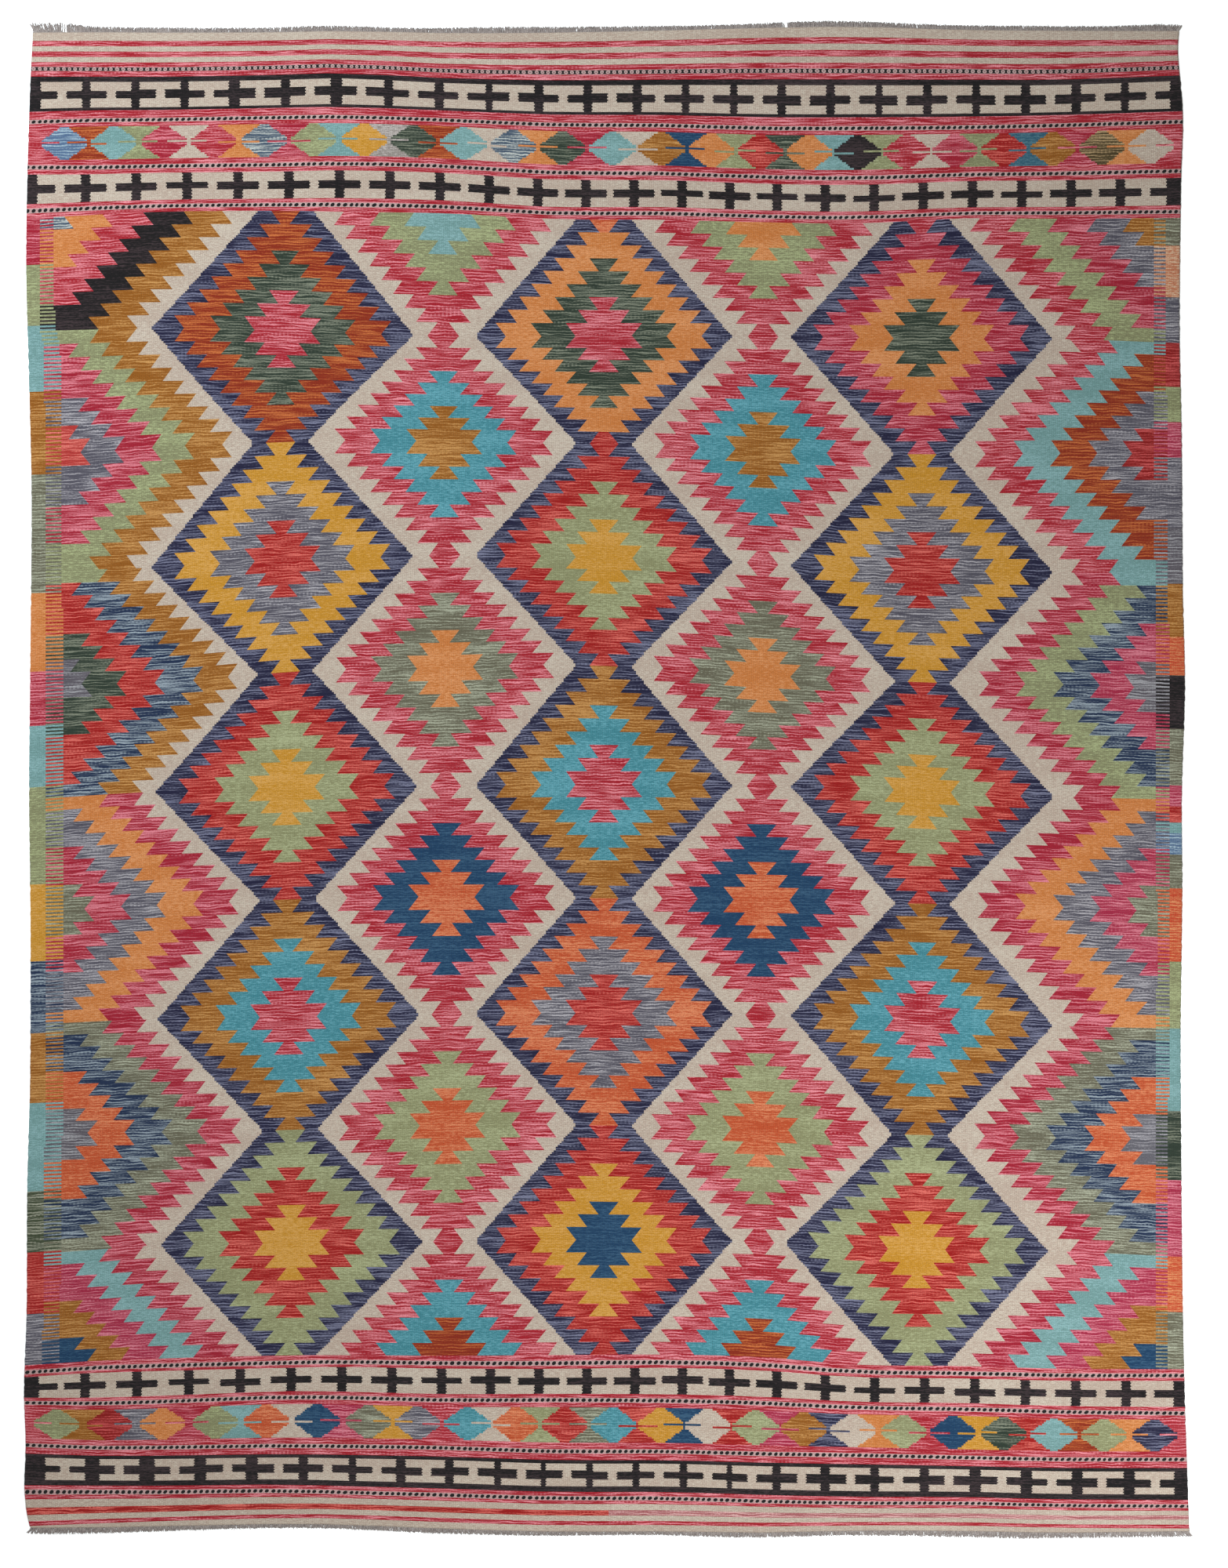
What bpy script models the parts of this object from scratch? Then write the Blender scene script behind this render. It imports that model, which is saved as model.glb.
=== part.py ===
"""Kilim rug: one flat tapestry-woven cloth with a short clipped fringe along each end.

The rug lies on z = 0. Its length runs along Y, its width along X, and the origin
is under its middle. Sizes are in millimetres and become metres in each vertex.
"""

import random

import bmesh
import bpy
import numpy as np

MM = 0.001

# Cloth
CLOTH_THICKNESS = 3.0
CLOTH_FACES_ACROSS = 32
CLOTH_FACES_ALONG = 40

# Fringe, the same along both ends. A narrow strip holds the roots of its locks.
FRINGE_GAP = 0.35  # between the cloth's edge and the strip
STRIP_DEPTH = 2.2
STRIP_THICKNESS = 2.0
LOCKS_PER_END = 148
LOCK_WIDTH_SHARE = 0.86  # of the pitch, and the rest parts it from the next lock
LOCK_TIP_SHARE = 0.8  # width at the tip, of the width at the root
LOCK_TIP_THICKNESS = 1.2
LOCK_LEAN = 1.2  # sideways at the tip, at most
LOCK_UNEVENNESS = 0.7  # longer or shorter than the reach given below, at most
FRINGE_SEED = 11

# The edges wander as the warps drew in on the loom. Between two rows an edge is
# read from a smooth curve.
# Side edges, rows of (y, x of the edge)
LEFT_EDGE = (
    (-1302.0, -1002.0),
    (-1256.0, -1012.3),
    (-1172.0, -1010.5),
    (-1064.0, -1013.4),
    (-926.0, -1008.9),
    (-717.0, -1007.8),
    (-527.0, -1002.9),
    (-248.0, -1002.1),
    (-14.0, -1004.4),
    (187.0, -1002.9),
    (496.0, -1000.2),
    (681.0, -1004.1),
    (906.0, -1009.7),
    (1161.0, -1004.1),
    (1300.0, -998.0),
)
RIGHT_EDGE = (
    (-1304.0, 1013.4),
    (-1172.0, 1009.2),
    (-1048.0, 1005.1),
    (-881.0, 1001.7),
    (-572.0, 998.7),
    (-426.0, 998.1),
    (-183.0, 1001.2),
    (-12.0, 1000.3),
    (183.0, 1005.7),
    (337.0, 1002.2),
    (619.0, 999.7),
    (810.0, 996.2),
    (1042.0, 998.9),
    (1151.0, 1001.9),
    (1260.0, 993.5),
    (1303.0, 994.8),
)
# End edges, rows of (x, y of the edge)
TOP_EDGE = (
    (-1006.0, 1299.2),
    (-905.0, 1299.9),
    (-782.0, 1299.2),
    (-560.0, 1299.9),
    (-459.0, 1301.9),
    (-282.0, 1298.5),
    (-100.0, 1299.1),
    (104.0, 1303.0),
    (268.0, 1307.4),
    (434.0, 1309.4),
    (622.0, 1304.0),
    (786.0, 1302.6),
    (1000.0, 1301.9),
)
BOTTOM_EDGE = (
    (-1006.0, -1301.9),
    (-905.0, -1301.9),
    (-782.0, -1299.9),
    (-560.0, -1295.8),
    (-459.0, -1297.2),
    (-282.0, -1304.0),
    (-100.0, -1309.0),
    (104.0, -1308.8),
    (268.0, -1310.8),
    (434.0, -1307.4),
    (622.0, -1308.1),
    (786.0, -1310.8),
    (1000.0, -1308.1),
)

# How far the clipped fringe reaches past the cloth, rows of (x, reach)
TOP_REACH = (
    (-932.0, 8.2),
    (-769.0, 6.8),
    (-605.0, 5.7),
    (-523.0, 8.9),
    (-360.0, 6.8),
    (-196.0, 10.8),
    (50.0, 8.6),
    (213.0, 6.5),
    (377.0, 10.0),
    (541.0, 6.8),
    (704.0, 7.5),
    (868.0, 7.1),
    (950.0, 11.0),
)
BOTTOM_REACH = (
    (-932.0, 10.2),
    (-769.0, 8.2),
    (-687.0, 6.1),
    (-523.0, 5.7),
    (-278.0, 8.2),
    (-114.0, 7.5),
    (50.0, 5.7),
    (213.0, 8.9),
    (377.0, 6.8),
    (459.0, 7.5),
    (697.0, 10.9),
    (786.0, 8.2),
    (950.0, 8.9),
)

# Colours
CLOTH_COLOUR = "#9C6E62"  # the mean of the red, blue and beige wool
FRINGE_COLOUR = "#9D9592"  # undyed grey warp
WOOL_ROUGHNESS = 0.9


def clear_scene():
    """Remove every object."""
    for item in list(bpy.data.objects):
        bpy.data.objects.remove(item, do_unlink=True)


def slope_at(rows, index):
    """Slope of the smooth curve at one row, from the rows on its two sides."""
    before = rows[max(index - 1, 0)]
    after = rows[min(index + 1, len(rows) - 1)]
    return (after[1] - before[1]) / (after[0] - before[0])


def curve_value(rows, position):
    """Value at a position on the smooth curve through rows of (position, value)."""
    position = min(max(position, rows[0][0]), rows[-1][0])
    index = 0
    while index < len(rows) - 2 and position > rows[index + 1][0]:
        index += 1
    start, start_value = rows[index]
    end, end_value = rows[index + 1]
    span = end - start
    t = (position - start) / span
    start_pull = slope_at(rows, index) * span
    end_pull = slope_at(rows, index + 1) * span
    return (
        start_value * (2 * t**3 - 3 * t**2 + 1)
        + start_pull * (t**3 - 2 * t**2 + t)
        + end_value * (3 * t**2 - 2 * t**3)
        + end_pull * (t**3 - t**2)
    )


def mix(start, end, share):
    """Value that lies the given share of the way from start to end."""
    return start + (end - start) * share


def cloth_point(across, along):
    """Plan position in mm of a point at shares 0 to 1 across and along the cloth."""
    straight_y = mix(BOTTOM_EDGE[0][1], TOP_EDGE[0][1], along)
    x = mix(curve_value(LEFT_EDGE, straight_y), curve_value(RIGHT_EDGE, straight_y), across)
    y = mix(curve_value(BOTTOM_EDGE, x), curve_value(TOP_EDGE, x), along)
    return x, y


def close_down_to_floor(sheet):
    """Turn a sheet of upper faces into a closed body with a flat underside on z = 0."""
    result = bmesh.ops.extrude_face_region(sheet, geom=sheet.faces[:], use_keep_orig=True)
    for item in result["geom"]:
        if isinstance(item, bmesh.types.BMVert):
            item.co.z = 0.0
    bmesh.ops.recalc_face_normals(sheet, faces=sheet.faces[:])


def wool_material(name, colour):
    """Matt wool of one hex colour."""
    red, green, blue = (int(colour[index : index + 2], 16) / 255 for index in (1, 3, 5))
    linear = [((part + 0.055) / 1.055) ** 2.4 for part in (red, green, blue)]
    material = bpy.data.materials.new(name)
    material.use_nodes = True
    shader = material.node_tree.nodes["Principled BSDF"]
    shader.inputs["Base Color"].default_value = (*linear, 1.0)
    shader.inputs["Roughness"].default_value = WOOL_ROUGHNESS
    shader.inputs["Metallic"].default_value = 0.0
    return material


def add_piece(name, sheet, material):
    """Close a sheet of upper faces and add it to the scene as one object."""
    close_down_to_floor(sheet)
    data = bpy.data.meshes.new(name)
    sheet.to_mesh(data)
    sheet.free()
    data.materials.append(material)
    piece = bpy.data.objects.new(name, data)
    bpy.context.scene.collection.objects.link(piece)
    return piece


def build_cloth():
    """The whole woven cloth, one slab with wandering edges."""
    sheet = bmesh.new()
    bmesh.ops.create_grid(
        sheet,
        x_segments=CLOTH_FACES_ACROSS,
        y_segments=CLOTH_FACES_ALONG,
        size=0.5,
    )
    for vertex in sheet.verts:
        x, y = cloth_point(vertex.co.x + 0.5, vertex.co.y + 0.5)
        vertex.co = (x * MM, y * MM, CLOTH_THICKNESS * MM)
    return add_piece("kilim_cloth", sheet, wool_material("cloth_wool", CLOTH_COLOUR))


def end_outline(along):
    """The cloth's own end edge as arrays of x and y, at share 0 or 1 along the cloth."""
    shares = np.linspace(0.0, 1.0, CLOTH_FACES_ACROSS + 1)
    points = np.array([cloth_point(share, along) for share in shares])
    return points[:, 0], points[:, 1]


def build_fringe(name, along, outward, reach_rows, seed):
    """One end's fringe: a comb of locks that leave a strip beside the cloth.

    along is the end's share along the cloth, and outward is +1 or -1 along Y.
    """
    rng = random.Random(seed)
    edge_x, edge_y = end_outline(along)
    pitch = (edge_x[-1] - edge_x[0]) / LOCKS_PER_END
    margin = pitch * (1.0 - LOCK_WIDTH_SHARE) / 2
    sheet = bmesh.new()

    def vertex_at(x, distance, height):
        """Vertex at x, a distance outward of the cloth's edge."""
        y = np.interp(x, edge_x, edge_y) + outward * distance
        return sheet.verts.new((x * MM, y * MM, height * MM))

    def strip_pair(x):
        """Inner and outer vertex of the strip of roots at x."""
        inner = vertex_at(x, FRINGE_GAP, STRIP_THICKNESS)
        outer = vertex_at(x, FRINGE_GAP + STRIP_DEPTH, STRIP_THICKNESS)
        return inner, outer

    previous = None
    for index in range(LOCKS_PER_END):
        left = edge_x[0] + index * pitch + margin
        right = left + pitch * LOCK_WIDTH_SHARE
        root_left = strip_pair(left)
        root_right = strip_pair(right)
        if previous:
            sheet.faces.new((previous[0], previous[1], root_left[1], root_left[0]))
        sheet.faces.new((root_left[0], root_left[1], root_right[1], root_right[0]))

        middle = (left + right) / 2 + rng.uniform(-LOCK_LEAN, LOCK_LEAN)
        half_tip = pitch * LOCK_WIDTH_SHARE * LOCK_TIP_SHARE / 2
        reach = curve_value(reach_rows, middle) + rng.uniform(-LOCK_UNEVENNESS, LOCK_UNEVENNESS)
        tip_left = vertex_at(middle - half_tip, reach, LOCK_TIP_THICKNESS)
        tip_right = vertex_at(middle + half_tip, reach, LOCK_TIP_THICKNESS)
        sheet.faces.new((root_left[1], tip_left, tip_right, root_right[1]))
        previous = root_right
    return add_piece(name, sheet, wool_material(name + "_wool", FRINGE_COLOUR))


clear_scene()
build_cloth()
build_fringe("fringe_top", 1.0, 1, TOP_REACH, FRINGE_SEED)
build_fringe("fringe_bottom", 0.0, -1, BOTTOM_REACH, FRINGE_SEED + 1)
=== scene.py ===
"""Kilim rug: slit-tapestry wool cloth with a stepped diamond field, four figured
bands at each end and short clipped fringes, lying flat and seen from straight above.

The cloth is woven in this script as on the loom: course by course, each course cut
into runs of one yarn that begin and end between two warps. Sizes are in
millimetres. Places across the rug are measured from its middle, and depths along it
from the first weft at the far end.
"""

import logging
import math
import random
from bisect import bisect_left, bisect_right
from dataclasses import dataclass, field
from enum import Enum
from functools import partial
from itertools import pairwise
from typing import Any, Iterable, Iterator, Sequence

import bmesh
import bpy
from bmesh.types import BMVert
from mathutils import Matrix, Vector, noise


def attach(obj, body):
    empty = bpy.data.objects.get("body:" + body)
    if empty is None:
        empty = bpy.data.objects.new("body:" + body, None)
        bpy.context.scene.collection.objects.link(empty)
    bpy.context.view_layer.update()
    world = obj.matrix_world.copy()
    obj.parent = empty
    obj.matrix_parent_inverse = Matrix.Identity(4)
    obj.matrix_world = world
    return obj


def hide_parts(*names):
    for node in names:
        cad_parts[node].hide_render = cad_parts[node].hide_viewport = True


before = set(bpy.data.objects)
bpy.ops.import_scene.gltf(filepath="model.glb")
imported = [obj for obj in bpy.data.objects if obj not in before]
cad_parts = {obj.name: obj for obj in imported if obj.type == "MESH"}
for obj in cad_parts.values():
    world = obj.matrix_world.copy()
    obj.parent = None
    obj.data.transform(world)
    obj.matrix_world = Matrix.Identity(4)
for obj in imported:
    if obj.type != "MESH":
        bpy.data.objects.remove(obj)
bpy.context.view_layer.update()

log = logging.getLogger("kilim")

MM = 0.001

# Weave
WARP = 3.41  # one rib of the cloth, which covers one warp
TICK = 2.77  # one pass of the weft over a rib, with the pass behind it
CLOTH_THICKNESS = 3.0
CLOTH_LENGTH = 2608.0  # along the middle of the cloth, between its end edges
FAR_EDGE_Y = 1302.0  # where the far end edge would lie if it were straight
BEYOND_SELVEDGE = 1050.0  # a stretch laid to here runs to the selvedge
RIM_COLUMN = 9000.0  # name of the outermost column of vertices along a selvedge

# Figured bands
BAND_COURSES = 17
SERRATION = 0.8  # how far an upright edge steps to and fro

# Field of stepped diamonds
FIELD_DEPTH = 323.3
TOOTH_ROW = 22.156
COURSES_IN_ROW = 7
ROWS_IN_HALF = 9  # tooth rows from a diamond's equator to its tip
FIELD_ROWS = 90

# The photograph's frame, in its pixels, and the rug's place in it
PHOTO_SIZE = (1566, 2000)
PHOTO_MIDDLE = (773.65, 994.0)  # the rug's origin
PIXEL = 1.364  # mm on the rug

# How much brighter than its own colour the studio light shows a surface
LIGHT_GAIN = 1.75

# The weave's streaks at the deepest and the palest dye
STREAK_RANGE = (0.46, 0.64)


# ---------------------------------------------------------------- materials


def colour(code: str) -> tuple[float, float, float, float]:
    """Linear colour that the studio light shows as this sRGB hex colour.

    Args:
        code: The colour, as #RRGGBB.

    Returns:
        Red, green, blue and alpha.
    """
    channels = [int(code[index : index + 2], 16) / 255 for index in (1, 3, 5)]
    linear = [c / 12.92 if c <= 0.04045 else ((c + 0.055) / 1.055) ** 2.4 for c in channels]
    return (*(channel / LIGHT_GAIN for channel in linear), 1.0)


def add_node(
    tree: bpy.types.NodeTree, kind: str, inputs: Sequence[Any] | dict[Any, Any] = (),
    operation: str = "", output: int | str = 0, **settings: Any,
) -> bpy.types.NodeSocket:
    """Add a node with its settings, input values and links.

    Args:
        tree: The node tree.
        kind: The node's type name, without ShaderNode.
        inputs: An output socket or a value for each input in order, or by name or number.
        operation: What a node that calculates does.
        output: Number or name of the output that is wanted.
        settings: Other properties of the node.

    Returns:
        The wanted output.
    """
    node = tree.nodes.new("ShaderNode" + kind)
    if operation:
        node.operation = operation
    for name, value in settings.items():
        setattr(node, name, value)
    for name, source in inputs.items() if isinstance(inputs, dict) else enumerate(inputs):
        if isinstance(source, bpy.types.NodeSocket):
            tree.links.new(source, node.inputs[name])
        else:
            node.inputs[name].default_value = source
    return node.outputs[output]


def start_material(name: str, values: dict[str, Any]) -> tuple[bpy.types.Material, bpy.types.Node]:
    """Make a material, and set values on its shader by the names of its sockets.

    Args:
        name: Its name.
        values: Values by the name of the shader's socket.

    Returns:
        The material and its shader.
    """
    material = bpy.data.materials.new(name)
    material.use_nodes = True
    shader = material.node_tree.nodes["Principled BSDF"]
    for socket, value in values.items():
        shader.inputs[socket].default_value = value
    return material, shader


@dataclass(frozen=True)
class Unevenness:
    """One way in which the yarn or the weave is uneven.

    Attributes:
        across: How often it changes in a metre across the rug.
        along: How often in a metre along it, or for each pass of the weft.
        amount: How much of it shows.
        detail: How many finer changes it has within it.
        roughness: How strong they are.
        same_in_all: Whether all yarns have the same, and not each its own.
    """

    across: float
    along: float
    amount: float
    detail: float = 1.0
    roughness: float = 0.5
    same_in_all: bool = False

    def nodes(self, tree: bpy.types.NodeTree, place: bpy.types.NodeSocket) -> bpy.types.NodeSocket:
        """Add its nodes, which give it from 0 to 1 at a place.

        Args:
            tree: The tree that gets them.
            place: Where the pattern is read.

        Returns:
            The pattern, from 0 to 1.
        """
        stretched = add_node(tree, "VectorMath", (place, (self.across, self.along, 1.0)), "MULTIPLY")
        return add_node(
            tree, "TexNoise",
            {"Vector": stretched, "Scale": 1.0, "Detail": self.detail, "Roughness": self.roughness},
            noise_dimensions="2D" if self.same_in_all else "3D",
        )


@dataclass(frozen=True)
class TapestryWeave:
    """Weft-faced tapestry weave: warp ribs, and weft passes that alternate from rib to rib.

    Attributes:
        wander: How the weft lines stray, with the distance in metres.
        lines: Pale lines 1 to 2 mm thick, 3 to 5 mm apart and 50 to 80 mm long, where the
            hank took less dye.
        zones: Patches 200 mm wide and 40 mm high, with many such lines or few.
        passes: Single passes of the weft that are paler.
        flecks: Short fine flecks, a few beads long, which an evenly dyed yarn has instead.
        hairs: The wool's own fibre, drawn coarse enough to show. In the colour it is painted
            paler and darker, partly as the fibre's own tone and partly as painted light.
        zones_in_even: How much of the patches shows in an evenly dyed yarn.
        beat: How strongly the rows show in which the weft was beaten down.
        beat_spacing: Distance between these rows, in mm.
        streak_level: What is taken off the streaks, so that their middle is 0.5.
        rib_height: How far the weft rises over a warp, in metres.
        bead_height: How far the middle of a pass stands out, in metres.
        hair_height: How far the hairs do, in metres.
    """

    wander: Unevenness = Unevenness(38.0, 75.0, 5.0 * MM, detail=2.0, same_in_all=True)
    lines: Unevenness = Unevenness(21.0, 880.0, 0.85, detail=1.5)
    zones: Unevenness = Unevenness(5.0, 27.0, 0.22)
    passes: Unevenness = Unevenness(14.0, 0.9, 0.2)
    flecks: Unevenness = Unevenness(110.0, 620.0, 0.8, detail=2.0, roughness=0.6, same_in_all=True)
    hairs: Unevenness = Unevenness(520.0, 520.0, 0.9, detail=2.0, roughness=0.7, same_in_all=True)
    zones_in_even: float = 0.28
    beat: float = 0.06
    beat_spacing: float = 5.0
    streak_level: float = 0.135
    rib_height: float = 0.22 * MM
    bead_height: float = 0.25 * MM
    hair_height: float = 0.2 * MM

    def group(self) -> bpy.types.NodeTree:
        """Build the weave's nodes.

        Returns:
            A group that gives Shade (how bright the yarn looks: painted shade in the grooves
            between ribs and beads, and painted light and the fibre's own tone on the hairs),
            Streak (0 to 1 along the weft) and Height (in metres) from the cloth's weave map, a
            Lot number, and how Even the yarn is, from 0 to 1.
        """
        tree = bpy.data.node_groups.new("tapestry_weave", "ShaderNodeTree")
        for way, names in (("INPUT", ("Lot", "Even")), ("OUTPUT", ("Shade", "Streak", "Height"))):
            for name in names:
                tree.interface.new_socket(name, in_out=way, socket_type="NodeSocketFloat")
        add = partial(add_node, tree)
        lot, even = tree.nodes.new("NodeGroupInput").outputs[:2]
        place = add("UVMap", uv_map="weave")
        across, along = add("SeparateXYZ", (place,)).node.outputs[:2]

        # One rib is one warp wide. Its weft passes lie half a pass off the next rib's, so
        # each pass shows as a row of beads on every other rib.
        rib = add("Math", (across, WARP * MM), "DIVIDE")
        odd = add("Math", (add("Math", (rib,), "FLOOR"), 2.0), "FLOORED_MODULO")
        waved = add("Math", (self.wander.nodes(tree, place), self.wander.amount, along), "MULTIPLY_ADD")
        bead = add("Math", (odd, 0.5, add("Math", (waved, TICK * MM), "DIVIDE")), "MULTIPLY_ADD")
        half_turns = [add("Math", (part, math.pi), "MULTIPLY") for part in (rib, bead)]
        rib_round, bead_round = (
            add("Math", (add("Math", (turn,), "SINE"),), "ABSOLUTE") for turn in half_turns
        )

        line_place = add("CombineXYZ", (across, waved, lot))
        lines, zones = self.lines.nodes(tree, line_place), self.zones.nodes(tree, line_place)
        bead_number, less = add("Math", (bead,), "FLOOR"), add("Math", (odd, -1.0), "MULTIPLY")
        weft = add("Math", (bead_number, 2.0, less), "MULTIPLY_ADD")
        passes = self.passes.nodes(tree, add("CombineXYZ", (across, weft, lot)))
        beat_turn = add("Math", (waved, 2 * math.pi / (self.beat_spacing * MM)), "MULTIPLY")
        beat = add("Math", (beat_turn,), "SINE")
        streaky = add("Math", (lines, self.lines.amount), "MULTIPLY")
        for part, amount in ((zones, self.zones.amount), (beat, self.beat)):
            streaky = add("Math", (part, amount, streaky), "MULTIPLY_ADD")
        streaky = add("Math", (streaky, self.streak_level), "SUBTRACT")
        streaky = add("Math", (passes, self.passes.amount, streaky), "MULTIPLY_ADD")
        few_zones = add("Math", (zones, self.zones_in_even), "MULTIPLY")
        flecks = self.flecks.nodes(tree, place)
        flecked = add("Math", (flecks, self.flecks.amount, few_zones), "MULTIPLY_ADD")
        streak = add("Mix", {0: even, 2: streaky, 3: flecked})

        # Painted shade: the colour is darkened in the grooves between ribs and between beads.
        #         The hairs make it paler and darker, partly as the fibre's own tone and partly as painted
        #         light.
        hairs = self.hairs.nodes(tree, place)
        painted_groove_shade, gap = (
            add("Math", (add("Math", (part, 0.5), "POWER"), depth, rest), "MULTIPLY_ADD")
            for part, depth, rest in ((rib_round, 0.13, 0.88), (bead_round, 0.16, 0.85))
        )
        painted_hair_light_and_fibre_tone = add("Math", (hairs, self.hairs.amount, 0.55), "MULTIPLY_ADD")
        shade = add("Math", (add("Math", (painted_groove_shade, gap), "MULTIPLY"), painted_hair_light_and_fibre_tone), "MULTIPLY")
        height = add("Math", (bead_round, self.bead_height), "MULTIPLY")
        for part, rise in ((rib_round, self.rib_height), (hairs, self.hair_height)):
            height = add("Math", (part, rise, height), "MULTIPLY_ADD")

        given = tree.nodes.new("NodeGroupOutput").inputs
        for name, socket in (("Shade", shade), ("Streak", streak), ("Height", height)):
            tree.links.new(socket, given[name])
        return tree


@dataclass(frozen=True)
class Wool:
    """One dyed yarn: handspun wool, dyed in the hank, so its shade streaks along the weft.

    Attributes:
        pale: Its palest passes, as an sRGB hex value.
        deep: Its deepest passes.
        even: From 0, dyed in streaks, to 1, dyed evenly.
    """

    pale: str
    deep: str
    even: float = 0.0

    def base(self, tree: bpy.types.NodeTree, streak: bpy.types.NodeSocket) -> bpy.types.NodeSocket:
        """Add nodes for its colour, from the weave's streaks.

        Args:
            tree: The material's nodes.
            streak: The weave's streaks, from 0 to 1.

        Returns:
            The colour.
        """
        share = add_node(
            tree, "MapRange", (streak, *STREAK_RANGE, 0.0, 1.0), interpolation_type="SMOOTHSTEP"
        )
        ends = {6: colour(self.deep), 7: colour(self.pale)}
        return add_node(tree, "Mix", {0: share, **ends}, output=2, data_type="RGBA")


@dataclass(frozen=True)
class Twining:
    """Black and off-white wools twined round each other.

    Attributes:
        beaded: Whether round pale beads with a dark eye show on a black row, and not
            slanting dark dots on a pale one.
        pale: The off-white yarn's palest passes, as an sRGB hex value.
        deep: Its deepest passes, a dusky pink, mixed in along the weave's streaks.
        dark: The black yarn.
        even: How evenly they are dyed.
        pitch: Distance from dot to dot, in mm.
        half_width: Of a dot, as a share of the pitch.
        half_height: Of a dot, in mm.
        slant: How far a dot leans for its height.
    """

    beaded: bool
    pale: str = "#E2CCC5"
    deep: str = "#96595F"
    dark: str = "#0F0B0D"
    even: float = 0.5
    pitch: float = 10.4
    half_width: float = 0.33
    half_height: float = 3.0
    slant: float = 0.3

    def base(self, tree: bpy.types.NodeTree, streak: bpy.types.NodeSocket) -> bpy.types.NodeSocket:
        """Add nodes for its colour, from its own dots and the weave's streaks.

        Args:
            tree: The material's nodes.
            streak: The weave's streaks, from 0 to 1.

        Returns:
            The colour.
        """
        add = partial(add_node, tree)
        place = add("UVMap", uv_map="weave")
        across, height = add("SeparateXYZ", (place,)).node.outputs[:2]
        sway, size = (
            Unevenness(rate, rate, amount, same_in_all=True)
            for rate, amount in ((30.0, 0.6), (55.0, 0.5))
        )
        pitches = add("Math", (across, self.pitch * MM), "DIVIDE")
        swayed = add("Math", (sway.nodes(tree, place), sway.amount), "MULTIPLY")
        swayed = add("Math", (pitches, swayed), "ADD")
        slant = 0.0 if self.beaded else self.slant
        leaning = add("Math", (height, slant / (self.pitch * MM), swayed), "MULTIPLY_ADD")
        beside = add("Math", (add("Math", (leaning,), "FRACT"), 0.5), "SUBTRACT")
        wide, tall = (
            add("Math", (add("Math", (part, half), "DIVIDE"), 2.0), "POWER")
            for part, half in ((beside, self.half_width), (height, self.half_height * MM))
        )
        from_middle = add("Math", (wide, tall), "ADD")
        reach = add("Math", (size.nodes(tree, place), size.amount, from_middle), "MULTIPLY_ADD")
        dark = dot = add("MapRange", (reach, 1.1, 1.4, 1.0, 0.0))
        if self.beaded:
            # The black shows round the bead, up to the row's pale edges, and as its eye.
            row = add("MapRange", (tall, 0.9, 1.4, 1.0, 0.0))
            eye = add("MapRange", (from_middle, 0.1, 0.3, 0.5, 0.0))
            dark = add("Math", (add("Math", (row, dot), "SUBTRACT"), eye), "MAXIMUM")
        ends = {6: colour(self.deep), 7: colour(self.pale)}
        pale = add("Mix", {0: streak, **ends}, output=2, data_type="RGBA")
        return add("Mix", {0: dark, 6: pale, 7: colour(self.dark)}, output=2, data_type="RGBA")


class Yarn(Enum):
    """The dyed wools, by colour, and the two-coloured twinings."""

    BEIGE = Wool("#CFC1B0", "#BCA898", 0.8)
    BLACK = Wool("#3D2F32", "#070305", 0.5)
    NAVY = Wool("#7A7C95", "#151437")
    PINK = Wool("#EF909A", "#A60F23")
    PALE_PINK = Wool("#E0AFAC", "#A85C60")
    CRIMSON = Wool("#E48390", "#A2102B")
    ROSE = Wool("#E18494", "#A52041")
    RED = Wool("#E46E63", "#9F0403")
    DARK_RED = Wool("#D85A59", "#8D0202")
    RUST = Wool("#CA6D36", "#8C2402")
    RED_ORANGE = Wool("#E39563", "#C54726", 0.4)
    CORAL = Wool("#E38A5F", "#C04D24", 0.45)
    SALMON = Wool("#E5786D", "#B12F2B")
    ORANGE = Wool("#E19861", "#C97737", 0.65)
    PEACH = Wool("#E2BD9C", "#C67A57", 0.6)
    GOLD = Wool("#DAA352", "#C58A20", 0.65)
    OCHRE = Wool("#CB9453", "#93560A", 0.25)
    LIGHT_GREEN = Wool("#AEB388", "#8B8C64", 0.6)
    GREEN = Wool("#ADB585", "#868762", 0.6)
    DARK_GREEN = Wool("#818674", "#273529")
    GREY_GREEN = Wool("#AFB29B", "#66624F", 0.2)
    MOSS = Wool("#A1A28F", "#3D4730")
    OLIVE = Wool("#BB9E73", "#4A3B1C")
    TURQUOISE = Wool("#66A8B5", "#3D8490", 0.65)
    LIGHT_TURQUOISE = Wool("#8BB3B4", "#709896", 0.65)
    TEAL = Wool("#355B79", "#07385C", 0.5)
    BLUE = Wool("#ADC5D1", "#526C8E")
    PETROL = Wool("#537E8C", "#265870", 0.6)
    STEEL_BLUE = Wool("#97A4AE", "#132849")
    PALE_STEEL = Wool("#CBD0CA", "#435468")
    GREY_BLUE = Wool("#B1ADB2", "#524F5B")
    GREY = Wool("#A5A4A8", "#5B555D")
    SILVER = Wool("#C2B8B3", "#928982", 0.8)
    VIOLET = Wool("#A7A4AA", "#626068")
    TWINED = Twining(beaded=False)
    BEADED = Twining(beaded=True)


Y = Yarn


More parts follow.
